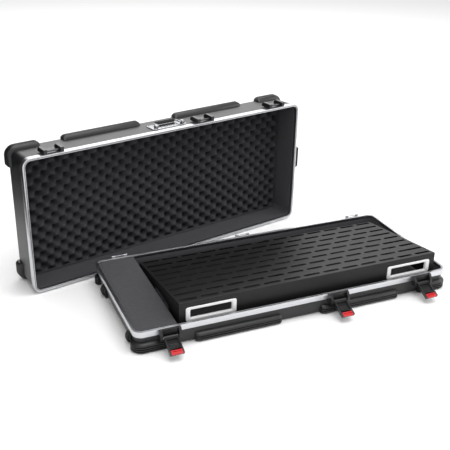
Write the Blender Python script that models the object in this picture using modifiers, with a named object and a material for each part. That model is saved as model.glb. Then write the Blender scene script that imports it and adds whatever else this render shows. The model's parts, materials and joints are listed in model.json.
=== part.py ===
"""Large slotted pedalboard in its wheeled ABS flight case.

The case base lies open on the floor with the pedalboard in it. The lift-off lid stands behind it
on its long hinge edge, with its open side to the front. Metres, +Z up, +X along the case.
The origin is the middle of the base's flat underside.
"""
import math

import bmesh
import bpy
from mathutils import Matrix, Vector

# ---- Clearances and facets ----------------------------------------------------------------------
FIT = 0.0003                # gap between pieces that touch
CORNER_STEPS = 6            # facets round a case corner
EDGE_STEPS = 3              # facets round a moulded edge
ROUND_STEPS = 24            # facets round a pin or wheel
FINE_STEPS = 32             # facets round a wheel pocket
SMALL_STEPS = 16            # facets round a knuckle or grip
OVERCUT = 0.05              # how far a cutter reaches past what it cuts

# ---- Pedalboard ---------------------------------------------------------------------------------
BOARD_LENGTH = 1.020
BOARD_DEPTH = 0.448         # in plan
BOARD_FRONT_HEIGHT = 0.131  # floor of the tray to the front top edge
BOARD_SLOPE = math.radians(9.2)
SHEET = 0.002
SHEET_BEND = 0.003
WALL_FLANGE = 0.018         # return flange along the foot of the front and rear walls
FOOT_HEIGHT = 0.008
FOOT_RADIUS = 0.009
FOOT_INSET_X = 0.050
FOOT_INSET_Y = 0.010        # from the outside of the wall to the foot's centre

SLOT_WIDTH = 0.015
SLOT_PITCH = 0.0783         # nominal, fitted to whole slots along the board
SLOT_GAP = 0.0135
SLOT_MARGIN = 0.008
ROW_FIRST = 0.0256          # front top edge to the middle of the first row
ROW_LAST = 0.012            # least distance from the last row to the rear edge
ROW_PITCH = 0.0516

HATCH = (0.150, 0.030)      # cable hatch in each end plate
HATCH_CORNER = 0.010
HATCH_BACK = 0.188          # middle of the hatch behind the front wall
HATCH_UP = 0.038            # middle of the hatch above the sheet's foot
END_INSET = 0.001           # end plate's outer face inside the sheet's end

BAY_FROM_END = 0.115        # middle of each patch bay from the end of the board
BAY_CENTRE_UP = 0.0832      # above the floor of the tray
BAY_FRAME = (0.184, 0.053)
BAY_OPENING = (0.152, 0.033)
BAY_CORNER = 0.008
BAY_FRAME_THICK = 0.003
BAY_COLLAR = 0.002
BAY_COLLAR_DEPTH = 0.010

# ---- Case ---------------------------------------------------------------------------------------
RIM_FACE = 0.0095           # width of the aluminium mating face
RIM_DEPTH = 0.021
RIM_WALL = 0.002
RIM_CAP = 0.004
RIM_LIP = 0.0015
RIM_LIP_DEPTH = 0.012
RIM_GROOVE = (0.0052, 0.0070, 0.0015)   # from, to, depth

FOAM_BLOCK_WIDTH = 0.1415
FOAM_BLOCK_GAP = 0.012      # block to board
FOAM_SIDE_GAP = 0.001
RIGHT_GAP = 0.0345
FRONT_GAP = 0.0208
REAR_GAP = 0.0382
CASE_LENGTH = 2 * RIM_FACE + FOAM_SIDE_GAP + FOAM_BLOCK_WIDTH + FOAM_BLOCK_GAP + BOARD_LENGTH + RIGHT_GAP
CASE_WIDTH = 2 * RIM_FACE + FRONT_GAP + BOARD_DEPTH + REAR_GAP

BASE_HEIGHT = 0.081
LID_HEIGHT = 0.159
CASE_CORNER = 0.032
CASE_EDGE = 0.012
SHELL_WALL = 0.0035
BASE_DRAFT = 0.010          # how far the walls lean in from the rim to the closed face
LID_DRAFT = 0.0075
FLOOR_PAD = 0.008
LID_FOAM = 0.040            # egg-crate foam, between its valleys and its peaks
PAD_MARGIN = 0.012          # padding's edge to the inner wall's foot
PAD_TIGHTER = 0.026         # padding's corner radius below the case's
PAD_CORNER_LEAST = 0.002
FOAM_DOWN = 0.002           # side foam block below the rim
FOAM_LEAN = 0.003           # side foam block leans in this much more than the wall beside it

PROUD = 0.0065              # bumpers, runners and hinge knuckles stand this far outside the rim
GUARD_EDGE = 0.0072         # rounding of their lower edge
BUMPER_HEIGHT = 0.038
BUMPER_LONG = 0.120
BUMPER_SHORT = 0.070
BUMPER_BY_WHEEL = 0.042     # the base's left bumpers stop short of the wheels
RUNNER_HEIGHT = 0.034
RUNNER_FROM_CENTRE = 0.080
RUNNER_FROM_END = 0.214

# ---- Hardware -----------------------------------------------------------------------------------
LATCH_FROM_END = 0.119
LATCH_MIDDLE = 0.141
LATCH_WIDTH = 0.076
LATCH_PLATE = 0.004
LATCH_CHEEK = 0.0095
LATCH_BOTTOM = 0.037        # below the rim's face
LATCH_REACH = 0.021
CHEEK_SHOULDER = (0.007, 0.017)         # flat top, out from the rim, then the slope's drop
CHEEK_FOOT = (0.006, 0.004)             # chamfer at the foot, inwards and up
PIVOT_OUT = 0.0135          # lever pivot, out from the rim's outer face
PIVOT_DOWN = 0.029          # lever pivot, below the rim's face
PIVOT_PIN = 0.003
PIN_INSET = 0.002           # pin's end inside the cheek's outer face
LEVER_BARREL = 0.0068
LEVER_WIDTH = 0.050
LEVER_LENGTH = 0.070
LEVER_THICK = 0.010
LEVER_SIDE = 0.005
LEVER_FLOOR = 0.003
LEVER_HEEL = 0.001          # lever's body starts this far out from its pivot
LEVER_WALL = 0.004          # across the ends of the sunk panel
PANEL_FLOOR = 0.006
LEVER_HANG = math.radians(22)
RELEASE_LENGTH = 0.016
RELEASE_TRAVEL = 0.003
RELEASE_PROUD = 0.001       # button beyond the lever's tip and above its sides
RELEASE_EDGE = 0.0012
KEEPER_DEPTH = 0.056
KEEPER_REACH = 0.018
KEEPER_CHEEK = 0.0125
KEEPER_PLATE = 0.003
KEEPER_EDGE = 0.0015
KEEPER_BAR = 0.003
KEEPER_BAR_OUT = 0.0085      # bar's centre, out from the rim's outer face
KEEPER_BAR_DOWN = 0.012      # bar's centre, below the rim's face

HINGE_FROM_END = 0.101
HINGE_WIDTH = 0.060
HINGE_LEAF = 0.0018
HINGE_LEAF_DEPTH = 0.018
KNUCKLE_RADIUS = 0.0030
KNUCKLE_UP = 0.004          # pivot line above the base's rim
KNUCKLE_END = 0.013
KNUCKLE_GAP = 0.001
HINGE_PIN = 0.0015
HINGE_PIN_INSET = 0.001
HINGE_OVERLAP = 0.001       # lid's leaf past its knuckles' centre line

WHEEL_OFFSET = 0.160
WHEEL_SHIFT = -0.028        # both wheels sit this far towards the front
WHEEL_RADIUS = 0.024
WHEEL_WIDTH = 0.022
WHEEL_PROUD = 0.010         # tread beyond the rim's outer face
WHEEL_LIFT = 0.003          # tread above the floor while the case lies flat
WHEEL_GAP = 0.003
WHEEL_AXLE = 0.003
WHEEL_SIDE = 0.0018         # wheel to the housing's cheek
WHEEL_CROWN = 0.12          # tread's chamfer, as a share of the radius
WHEEL_STEPS = (0.55, 0.62, 0.80, 0.86)  # hub, well and tyre, as shares of the radius
WHEEL_WELL = 0.75           # half width in the well, as a share of the tyre's
HOUSING_WALL = 0.003
HOUSING_INSET = 0.004       # housing's outer face inside the rim's outer face

HANDLE_PLATE = (0.150, 0.064, 0.003)
HANDLE_PLATE_CORNER = 0.010
HANDLE_UP = 0.0965          # middle of the handles above the lid's closed face
HANDLE_WIRE = 0.003
HANDLE_GRIP = 0.007
HANDLE_SPAN = 0.098         # between the bail's legs
HANDLE_PIVOT_UP = 0.018
HANDLE_GRIP_DOWN = 0.016
HANDLE_LUG = 0.012
HANDLE_PEG = 0.008
END_BAIL_OUT = math.radians(95)         # the end handle stands swung out
LUG_COVER = 0.0025          # lug beyond the peg
LUG_EDGE = 0.002
GRIP_CLEAR = 0.0008         # grip to the plate behind it
GRIP_INSET = 0.004          # grip's end inside the bail's leg
ARM_INSET = 0.005           # arm's inner side inside the bail's leg
ARM_OVER = 0.0005           # arm past the peg
PEG_OVERLAP = 0.002
PEG_SHORT = 0.001           # peg's end inside the lug's outer face

# ---- Where the lid stands -----------------------------------------------------------------------
LID_YAW = math.radians(12.65)
LID_ASIDE = 0.2325          # lower left corner of the lid's rim, left of the base's end
LID_CLOSE = 0.034           # and in front of the base's rear edge

COLOURS = {
    "abs": ((0.018, 0.018, 0.019), 0.45, 0.0),
    "aluminium": ((0.75, 0.75, 0.76), 0.30, 1.0),
    "foam": ((0.030, 0.030, 0.032), 0.95, 0.0),
    "lining": ((0.055, 0.055, 0.058), 0.95, 0.0),
    "powder_coat": ((0.022, 0.022, 0.022), 0.50, 0.0),
    "bay_frame": ((0.80, 0.80, 0.80), 0.40, 0.0),
    "rubber": ((0.012, 0.012, 0.012), 0.80, 0.0),
    "chrome": ((0.80, 0.80, 0.82), 0.12, 1.0),
    "release_red": ((0.62, 0.02, 0.035), 0.40, 0.0),
    "latch_black": ((0.020, 0.020, 0.021), 0.35, 0.0),
}


# ---- Scene helpers ------------------------------------------------------------------------------
def clear_scene():
    for obj in list(bpy.data.objects):
        bpy.data.objects.remove(obj, do_unlink=True)


def new_collection(name):
    collection = bpy.data.collections.new(name)
    bpy.context.scene.collection.children.link(collection)
    return collection


clear_scene()
PARTS = new_collection("pedalboard")
CUTTERS = new_collection("cutters")


def material(name, finish):
    colour, roughness, metallic = COLOURS[finish]
    made = bpy.data.materials.new(name)
    made.use_nodes = True
    shader = made.node_tree.nodes["Principled BSDF"]
    shader.inputs["Base Color"].default_value = (*colour, 1.0)
    shader.inputs["Roughness"].default_value = roughness
    shader.inputs["Metallic"].default_value = metallic
    made.diffuse_color = (*colour, 1.0)
    return made


def as_part(obj, finish, parent=None):
    """Make an object one of the model's named pieces."""
    PARTS.objects.link(obj)
    obj.data.materials.clear()
    obj.data.materials.append(material(obj.name + "_" + finish, finish))
    obj.parent = parent
    obj.data.shade_smooth()
    obj.data.set_sharp_from_angle(angle=math.radians(32))
    return obj


def as_cutter(obj, parent=None):
    CUTTERS.objects.link(obj)
    obj.hide_render = True
    obj.display_type = "WIRE"
    obj.parent = parent
    return obj


def frame_empty(name, matrix, parent=None):
    """An empty that carries pieces: a body's frame or a joint's axis."""
    empty = bpy.data.objects.new(name, None)
    PARTS.objects.link(empty)
    empty.parent = parent
    empty.matrix_local = matrix
    return empty


def object_from(bm, name):
    bmesh.ops.recalc_face_normals(bm, faces=bm.faces)
    mesh = bpy.data.meshes.new(name)
    bm.to_mesh(mesh)
    bm.free()
    return bpy.data.objects.new(name, mesh)


def boolean(obj, cutter, operation="DIFFERENCE"):
    modifier = obj.modifiers.new(operation.lower() + "_" + cutter.name, "BOOLEAN")
    modifier.operation = operation
    modifier.solver = "EXACT"
    modifier.object = cutter
    return modifier


# ---- Shape helpers ------------------------------------------------------------------------------
def box(name, low, high, bevel=0.0):
    bm = bmesh.new()
    bmesh.ops.create_cube(bm, size=1.0)
    size = Vector(high) - Vector(low)
    bmesh.ops.scale(bm, vec=size, verts=bm.verts)
    bmesh.ops.translate(bm, vec=(Vector(high) + Vector(low)) / 2, verts=bm.verts)
    if bevel:
        bmesh.ops.bevel(bm, geom=bm.edges[:], offset=bevel, segments=2, profile=0.5, affect="EDGES")
    return object_from(bm, name)


def cylinder(name, radius, start, end, steps=ROUND_STEPS):
    """A round bar between two points."""
    start, end = Vector(start), Vector(end)
    bm = bmesh.new()
    length = (end - start).length
    bmesh.ops.create_cone(bm, cap_ends=True, segments=steps, radius1=radius, radius2=radius, depth=length)
    turn = Vector((0, 0, 1)).rotation_difference(end - start).to_matrix().to_4x4()
    bmesh.ops.transform(bm, matrix=Matrix.Translation((start + end) / 2) @ turn, verts=bm.verts)
    return object_from(bm, name)


def cross_bar(name, radius, x, half, y, z, steps=ROUND_STEPS):
    """A round bar along x, reaching half to each side of x."""
    return cylinder(name, radius, (x - half, y, z), (x + half, y, z), steps)


def rounded_rectangle(width, height, radius, steps=4, centre=(0.0, 0.0)):
    points = []
    for quarter, (sx, sy) in enumerate(((1, 1), (-1, 1), (-1, -1), (1, -1))):
        cx = centre[0] + sx * (width / 2 - radius)
        cy = centre[1] + sy * (height / 2 - radius)
        for step in range(steps + 1):
            angle = math.radians(90 * quarter + 90 * step / steps)
            points.append((cx + radius * math.cos(angle), cy + radius * math.sin(angle)))
    return points


def flat_curve(name, outlines):
    curve = bpy.data.curves.new(name, "CURVE")
    curve.dimensions = "2D"
    for outline in outlines:
        spline = curve.splines.new("POLY")
        spline.points.add(len(outline) - 1)
        for point, (x, y) in zip(spline.points, outline):
            point.co = (x, y, 0.0, 1.0)
        spline.use_cyclic_u = True
    return curve


def plate(name, outlines, thickness, matrix):
    """A flat plate from outlines in its own XY plane: the first is the edge, the rest are holes."""
    curve = flat_curve(name, outlines)
    curve.fill_mode = "BOTH"
    curve.extrude = thickness / 2
    drawn = bpy.data.objects.new(name + "_outline", curve)
    bpy.context.scene.collection.objects.link(drawn)
    depsgraph = bpy.context.evaluated_depsgraph_get()
    mesh = bpy.data.meshes.new_from_object(drawn.evaluated_get(depsgraph))
    bpy.data.objects.remove(drawn, do_unlink=True)
    bm = bmesh.new()
    bm.from_mesh(mesh)
    bpy.data.meshes.remove(mesh)
    bmesh.ops.remove_doubles(bm, verts=bm.verts, dist=0.00001)
    bmesh.ops.transform(bm, matrix=matrix, verts=bm.verts)
    return object_from(bm, name)


# Plate planes: drawn x and y become the axes named, and the thickness runs along the third.
ALONG_XZ = Matrix.Rotation(math.radians(90), 4, "X")
ALONG_YZ = Matrix(((0, 0, 1, 0), (1, 0, 0, 0), (0, 1, 0, 0), (0, 0, 0, 1)))


def case_block(name, length, width, bottom, top, draft, corner, edge):
    """A tapered block with rounded corners: full size at the top, smaller by the draft below."""
    bm = bmesh.new()
    bmesh.ops.create_cube(bm, size=2.0)
    for vert in bm.verts:
        lean = 0.0 if vert.co.z > 0 else draft
        vert.co.x *= length / 2 - lean
        vert.co.y *= width / 2 - lean
        vert.co.z = top if vert.co.z > 0 else bottom
    upright = [e for e in bm.edges if abs(e.verts[0].co.z - e.verts[1].co.z) > (top - bottom) / 2]
    bmesh.ops.bevel(bm, geom=upright, offset=corner, segments=CORNER_STEPS, profile=0.5, affect="EDGES")
    if edge:
        foot = [e for e in bm.edges if all(abs(v.co.z - bottom) < 1e-6 for v in e.verts)]
        bmesh.ops.bevel(bm, geom=foot, offset=edge, segments=EDGE_STEPS, profile=0.5, affect="EDGES")
    return object_from(bm, name)


# ---- The two moulded halves of the case ---------------------------------------------------------
SHELL_INSET = RIM_WALL + FIT      # rim's outer face to the shell's outer face


def shell_top(height, draft):
    """Outer top edge of a leaning wall whose higher inner edge clears the rim's cap."""
    return height - RIM_CAP - FIT - SHELL_WALL * draft / height


def shell_form(name, height, draft, grow=0.0):
    """The outer form of a moulded half, larger all round by grow."""
    inset = SHELL_INSET - grow
    return case_block(name, CASE_LENGTH - 2 * inset, CASE_WIDTH - 2 * inset, -grow,
                      shell_top(height, draft) + grow, draft, CASE_CORNER - inset, CASE_EDGE)


def shell(name, height, draft, parent):
    """Open moulded tray with an even wall."""
    obj = shell_form(name, height, draft)
    bm = bmesh.new()
    bm.from_mesh(obj.data)
    top = max(v.co.z for v in bm.verts)
    lid_faces = [f for f in bm.faces if all(abs(v.co.z - top) < 1e-6 for v in f.verts)]
    bmesh.ops.delete(bm, geom=lid_faces, context="FACES_ONLY")
    bm.to_mesh(obj.data)
    bm.free()
    as_part(obj, "abs", parent)
    wall = obj.modifiers.new("wall", "SOLIDIFY")
    wall.thickness = SHELL_WALL
    wall.offset = -1.0
    wall.use_even_offset = True
    return obj


def rim(name, height, parent):
    """Aluminium extrusion bent round the opening, with its gasket groove and inner lip."""
    groove_from, groove_to, groove_depth = RIM_GROOVE
    profile = [(0.0, 0.0), (groove_from, 0.0), (groove_from, groove_depth), (groove_to, groove_depth),
               (groove_to, 0.0), (RIM_FACE, 0.0), (RIM_FACE, RIM_LIP_DEPTH),
               (RIM_FACE - RIM_LIP, RIM_LIP_DEPTH), (RIM_FACE - RIM_LIP, RIM_CAP),
               (RIM_WALL, RIM_CAP), (RIM_WALL, RIM_DEPTH), (0.0, RIM_DEPTH)]
    bm = bmesh.new()
    loops = []
    for inset, down in profile:
        outline = rounded_rectangle(CASE_LENGTH - 2 * inset, CASE_WIDTH - 2 * inset,
                                    CASE_CORNER - inset, CORNER_STEPS)
        loops.append([bm.verts.new((x, y, height - down)) for x, y in outline])
    for loop, following in zip(loops, loops[1:] + loops[:1]):
        for i in range(len(loop)):
            j = (i + 1) % len(loop)
            bm.faces.new((loop[i], loop[j], following[j], following[i]))
    return as_part(object_from(bm, name), "aluminium", parent)


def padding(name, bottom, thickness, draft, parent, finish):
    """Foam slab on the inside of a closed face."""
    inset = SHELL_INSET + SHELL_WALL + draft + PAD_MARGIN
    corner = max(CASE_CORNER - PAD_TIGHTER, PAD_CORNER_LEAST)
    slab = case_block(name, CASE_LENGTH - 2 * inset, CASE_WIDTH - 2 * inset, bottom, bottom + thickness,
                      0.0, corner, 0.0)
    return as_part(slab, finish, parent)


SIDES = (("front", -1), ("rear", 1))
ENDS = (("left", -1), ("right", 1))


def edge_guards(prefix, height, draft, left_short, parent):
    """Corner bumpers and long runners that wrap the closed face's edges."""
    form = as_cutter(shell_form(prefix + "_form", height, draft, grow=FIT), parent)
    reach_x = CASE_LENGTH / 2 + PROUD
    reach_y = CASE_WIDTH / 2 + PROUD
    for side, sy in SIDES:
        for end, sx in ENDS:
            short = left_short if end == "left" else BUMPER_SHORT
            corner_low = (CASE_LENGTH / 2 - BUMPER_LONG, CASE_WIDTH / 2 - short)
            guard(prefix + "_bumper_" + side + "_" + end, BUMPER_HEIGHT, form, parent,
                  corner_low, (2 * reach_x, 2 * reach_y), sx, sy)
            guard(prefix + "_runner_" + side + "_" + end, RUNNER_HEIGHT, form, parent,
                  (RUNNER_FROM_CENTRE, CASE_WIDTH / 2 - BUMPER_SHORT),
                  (CASE_LENGTH / 2 - RUNNER_FROM_END, 2 * reach_y), sx, sy)


def guard(name, height, form, parent, low, high, sx, sy):
    piece = case_block(name, CASE_LENGTH + 2 * PROUD, CASE_WIDTH + 2 * PROUD, 0.0, height, 0.0,
                       CASE_CORNER + PROUD, GUARD_EDGE)
    as_part(piece, "abs", parent)
    xs = sorted((sx * low[0], sx * high[0]))
    ys = sorted((sy * low[1], sy * high[1]))
    region = box(name + "_region", (xs[0], ys[0], -OVERCUT), (xs[1], ys[1], height + OVERCUT))
    boolean(piece, form)
    boolean(piece, as_cutter(region, parent), "INTERSECT")


# ---- Pedalboard ---------------------------------------------------------------------------------
def board_profile():
    """Outer bend lines of the sheet in (y, z), from the rear flange over the deck to the front one."""
    rear_height = BOARD_FRONT_HEIGHT - BOARD_DEPTH * math.tan(BOARD_SLOPE)
    return [(BOARD_DEPTH - WALL_FLANGE, FOOT_HEIGHT), (BOARD_DEPTH, FOOT_HEIGHT),
            (BOARD_DEPTH, rear_height), (0.0, BOARD_FRONT_HEIGHT), (0.0, FOOT_HEIGHT),
            (WALL_FLANGE, FOOT_HEIGHT)]


def slot_outline(start, end, row):
    """A slot with rounded ends, from start to end along the board, centred on row."""
    radius = SLOT_WIDTH / 2
    points = []
    for centre, turn in ((end - radius, -90), (start + radius, 90)):
        for step in range(4):
            angle = math.radians(turn + 60 * step)
            points.append((centre + radius * math.cos(angle), row + radius * math.sin(angle)))
    return points


def slot_rows():
    """Slot outlines on the sloping deck: whole rows, and rows set over by half a pitch between them."""
    field = BOARD_LENGTH - 2 * SLOT_MARGIN
    count = max(2, round((field + SLOT_GAP) / SLOT_PITCH))
    pitch = (field + SLOT_GAP) / count
    slot = pitch - SLOT_GAP
    slope_length = BOARD_DEPTH / math.cos(BOARD_SLOPE)
    rows = 1 + int((slope_length - ROW_FIRST - ROW_LAST) / ROW_PITCH)
    start = -BOARD_LENGTH / 2 + SLOT_MARGIN
    outlines = []
    for row in range(rows):
        along = ROW_FIRST + row * ROW_PITCH
        if row % 2 == 0:
            spans = [(start + i * pitch, start + i * pitch + slot) for i in range(count)]
        else:
            shifted = start + pitch / 2
            spans = [(shifted + i * pitch, shifted + i * pitch + slot) for i in range(count - 1)]
            spans[0] = (start, spans[0][1])
            spans[-1] = (spans[-1][0], start + field)
        outlines += [slot_outline(a, b, along) for a, b in spans]
    return outlines


def board_deck(parent):
    """One bent sheet: deck, front wall, rear wall and their return flanges, with slots and bays cut."""
    bm = bmesh.new()
    verts = [bm.verts.new((-BOARD_LENGTH / 2, y, z)) for y, z in board_profile()]
    edges = [bm.edges.new(pair) for pair in zip(verts, verts[1:])]
    swept = bmesh.ops.extrude_edge_only(bm, edges=edges)
    moved = [item for item in swept["geom"] if isinstance(item, bmesh.types.BMVert)]
    bmesh.ops.translate(bm, vec=(BOARD_LENGTH, 0, 0), verts=moved)
    folds = [e for e in bm.edges if len(e.link_faces) == 2]
    bmesh.ops.bevel(bm, geom=folds, offset=SHEET_BEND, segments=3, profile=0.5, affect="EDGES")
    obj = object_from(bm, "board_deck")
    deck_face = max(obj.data.polygons, key=lambda f: f.area)
    if deck_face.normal.z < 0:
        obj.data.flip_normals()
    as_part(obj, "powder_coat", parent)
    sheet = obj.modifiers.new("sheet", "SOLIDIFY")
    sheet.thickness = SHEET
    sheet.offset = -1.0
    sheet.use_even_offset = True

    onto_deck = (Matrix.Translation((0, 0, BOARD_FRONT_HEIGHT))
                 @ Matrix.Rotation(-BOARD_SLOPE, 4, "X"))
    slots = as_cutter(plate("deck_slots", slot_rows(), 6 * SHEET, onto_deck), parent)
    boolean(obj, slots)
    hole = (BAY_OPENING[0] + 2 * (BAY_COLLAR + FIT), BAY_OPENING[1] + 2 * (BAY_COLLAR + FIT))
    for end, sx in ENDS:
        at = Matrix.Translation((sx * (BOARD_LENGTH / 2 - BAY_FROM_END), 0, BAY_CENTRE_UP)) @ ALONG_XZ
        outline = rounded_rectangle(*hole, BAY_CORNER / 2)
        boolean(obj, as_cutter(plate("bay_hole_" + end, [outline], 6 * SHEET, at), parent))
    return obj


def board_ends(parent):
    """Plates that close the two ends, just inside the bent sheet."""
    inner = SHEET + FIT
    rear_height = BOARD_FRONT_HEIGHT - BOARD_DEPTH * math.tan(BOARD_SLOPE)
    drop = inner / math.cos(BOARD_SLOPE)
    slope = math.tan(BOARD_SLOPE)
    cut = SHEET_BEND
    top_front = BOARD_FRONT_HEIGHT - drop - inner * slope
    top_rear = rear_height - drop + inner * slope
    low = FOOT_HEIGHT + inner
    rear = BOARD_DEPTH - inner
    outline = [(inner + cut, low), (rear - cut, low), (rear, low + cut), (rear, top_rear - cut),
               (rear - cut, top_rear + cut * slope), (inner + cut, top_front - cut * slope),
               (inner, top_front - cut), (inner, low + cut)]
    hatch = rounded_rectangle(*HATCH, HATCH_CORNER, centre=(HATCH_BACK, FOOT_HEIGHT + HATCH_UP))
    for end, sx in ENDS:
        at = Matrix.Translation((sx * (BOARD_LENGTH / 2 - END_INSET - SHEET / 2), 0, 0)) @ ALONG_YZ
        as_part(plate("board_end_" + end, [outline, hatch], SHEET, at), "powder_coat", parent)


def bay_frames(parent):
    """Snap-in frame round each patch-bay opening: face plate and collar in one."""
    collar = (BAY_OPENING[0] + 2 * BAY_COLLAR, BAY_OPENING[1] + 2 * BAY_COLLAR)
    inner = rounded_rectangle(*BAY_OPENING, BAY_CORNER / 2)
    for end, sx in ENDS:
        name = "patchbay_frame_" + end
        middle = Matrix.Translation((sx * (BOARD_LENGTH / 2 - BAY_FROM_END), 0, BAY_CENTRE_UP))
        face_at = middle @ Matrix.Translation((0, -FIT - BAY_FRAME_THICK / 2, 0)) @ ALONG_XZ
        collar_back = (BAY_COLLAR_DEPTH - BAY_FRAME_THICK) / 2
        collar_at = middle @ Matrix.Translation((0, collar_back, 0)) @ ALONG_XZ
        face = plate(name, [rounded_rectangle(*BAY_FRAME, BAY_CORNER), inner], BAY_FRAME_THICK, face_at)
        tube_edge = rounded_rectangle(*collar, (BAY_CORNER + BAY_COLLAR) / 2)
        tube = plate(name + "_collar", [tube_edge, inner], BAY_COLLAR_DEPTH, collar_at)
        as_part(face, "bay_frame", parent)
        boolean(face, as_cutter(tube, parent), "UNION")


def board_feet(parent):
    spots = [("front_left", -1, FOOT_INSET_Y), ("front_right", 1, FOOT_INSET_Y),
             ("rear_left", -1, BOARD_DEPTH - FOOT_INSET_Y), ("rear_right", 1, BOARD_DEPTH - FOOT_INSET_Y)]
    for name, sx, y in spots:
        x = sx * (BOARD_LENGTH / 2 - FOOT_INSET_X)
        foot = cylinder("board_foot_" + name, FOOT_RADIUS, (x, y, 0.0), (x, y, FOOT_HEIGHT - FIT))
        as_part(foot, "rubber", parent)


# ---- Latches ------------------------------------------------------------------------------------
def latch_places():
    return (("left", -CASE_LENGTH / 2 + LATCH_FROM_END), ("middle", LATCH_MIDDLE),
            ("right", CASE_LENGTH / 2 - LATCH_FROM_END))


def latch_bracket(name, x, parent):
    """Plate over the rim's outer face with two cheeks and the lever's pin between them."""
    face = CASE_WIDTH / 2 + FIT
    top = BASE_HEIGHT - FIT
    bottom = BASE_HEIGHT - LATCH_BOTTOM
    half = LATCH_WIDTH / 2
    body = box(name, (x - half, -face - LATCH_PLATE, bottom), (x + half, -face, top))
    as_part(body, "latch_black", parent)
    front = -face - LATCH_REACH
    flat, slope = CHEEK_SHOULDER
    foot_in, foot_up = CHEEK_FOOT
    cheek = [(-face, bottom), (-face, top), (-face - flat, top), (front, top - slope),
             (front, bottom + foot_up), (front + foot_in, bottom)]
    for side, sx in ENDS:
        at = Matrix.Translation((x + sx * (half - LATCH_CHEEK / 2), 0, 0)) @ ALONG_YZ
        side_plate = plate(name + "_cheek_" + side, [cheek], LATCH_CHEEK, at)
        boolean(body, as_cutter(side_plate, parent), "UNION")
    pin = cross_bar(name + "_pin", PIVOT_PIN, x, half - PIN_INSET, -CASE_WIDTH / 2 - PIVOT_OUT,
                    BASE_HEIGHT - PIVOT_DOWN)
    boolean(body, as_cutter(pin, parent), "UNION")


def latch_lever(name, x, parent):
    """Over-centre lever, built pointing straight out and turned down to where it hangs."""
    pivot = Matrix.Translation((x, -CASE_WIDTH / 2 - PIVOT_OUT, BASE_HEIGHT - PIVOT_DOWN))
    axis = frame_empty("axis_" + name, pivot @ Matrix.Rotation(LEVER_HANG, 4, "X"), parent)
    half = LEVER_WIDTH / 2
    low = -LEVER_THICK / 2
    high = LEVER_THICK / 2
    lever = box("latch_lever_" + name, (-half, -LEVER_LENGTH, low), (half, -LEVER_HEEL, high))
    as_part(lever, "latch_black", axis)
    barrel = cross_bar("barrel_" + name, LEVER_BARREL, 0, half, 0, 0)
    boolean(lever, as_cutter(barrel, axis), "UNION")
    bore = cross_bar("bore_" + name, PIVOT_PIN + FIT, 0, LATCH_WIDTH, 0, 0)
    boolean(lever, as_cutter(bore, axis))
    wide = half - LEVER_SIDE
    tip = LEVER_LENGTH - RELEASE_LENGTH - RELEASE_TRAVEL - FIT
    panel = box("panel_" + name, (-wide, -tip + LEVER_WALL, low + PANEL_FLOOR),
                (wide, -LEVER_BARREL - LEVER_WALL, OVERCUT))
    boolean(lever, as_cutter(panel, axis))
    notch = box("notch_" + name, (-wide, -LEVER_LENGTH - OVERCUT, low + LEVER_FLOOR), (wide, -tip, OVERCUT))
    boolean(lever, as_cutter(notch, axis))
    button_tip = -LEVER_LENGTH - RELEASE_PROUD
    release = box("latch_release_" + name, (-wide + FIT, button_tip, low + LEVER_FLOOR + FIT),
                  (wide - FIT, button_tip + RELEASE_LENGTH, high + RELEASE_PROUD), bevel=RELEASE_EDGE)
    as_part(release, "release_red", axis)


def keeper(name, x, parent):
    """Catch on the lid: plate, two side blocks and the bar that the lever hooks."""
    face = CASE_WIDTH / 2 + FIT
    top = LID_HEIGHT - FIT
    half = LATCH_WIDTH / 2
    body = box(name, (x - half, face, top - KEEPER_DEPTH), (x + half, face + KEEPER_PLATE, top))
    as_part(body, "latch_black", parent)
    for side, sx in ENDS:
        inner, outer = x + sx * (half - KEEPER_CHEEK), x + sx * half
        block = box(name + "_block_" + side, (min(inner, outer), face, top - KEEPER_DEPTH),
                    (max(inner, outer), face + KEEPER_REACH, top), bevel=KEEPER_EDGE)
        boolean(body, as_cutter(block, parent), "UNION")
    bar = cross_bar(name + "_bar", KEEPER_BAR, x, half - PIN_INSET, CASE_WIDTH / 2 + KEEPER_BAR_OUT,
                    LID_HEIGHT - KEEPER_BAR_DOWN)
    boolean(body, as_cutter(bar, parent), "UNION")


# ---- Lift-off hinges ----------------------------------------------------------------------------
def hinge_places():
    reach = CASE_LENGTH / 2 - HINGE_FROM_END
    return (("left", -reach), ("middle", 0.0), ("right", reach))


def hinge_half(name, x, side, height, up, spans, pinned, parent):
    """Leaf on the rim's outer face with knuckles on the pivot line, and a pin between them if pinned."""
    face = CASE_WIDTH / 2 + FIT
    line_y = side * (CASE_WIDTH / 2 + PROUD - KNUCKLE_RADIUS)
    line_z = height + up
    half = HINGE_WIDTH / 2
    ys = sorted((side * face, side * (face + HINGE_LEAF)))
    leaf_top = line_z if up > 0 else line_z + HINGE_OVERLAP
    leaf = box(name, (x - half, ys[0], height - HINGE_LEAF_DEPTH), (x + half, ys[1], leaf_top))
    as_part(leaf, "chrome", parent)
    if pinned:
        window = box(name + "_window", (x - half + KNUCKLE_END, -CASE_WIDTH, height + FIT),
                     (x + half - KNUCKLE_END, CASE_WIDTH, height + 2 * up))
        boolean(leaf, as_cutter(window, parent))
    for i, (start, end) in enumerate(spans):
        knuckle = cylinder(name + "_knuckle_" + str(i), KNUCKLE_RADIUS, (x + start, line_y, line_z),
                           (x + end, line_y, line_z), SMALL_STEPS)
        boolean(leaf, as_cutter(knuckle, parent), "UNION")
    if pinned:
        pin = cross_bar(name + "_pin", HINGE_PIN, x, half - HINGE_PIN_INSET, line_y, line_z, SMALL_STEPS)
        boolean(leaf, as_cutter(pin, parent), "UNION")


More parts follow.
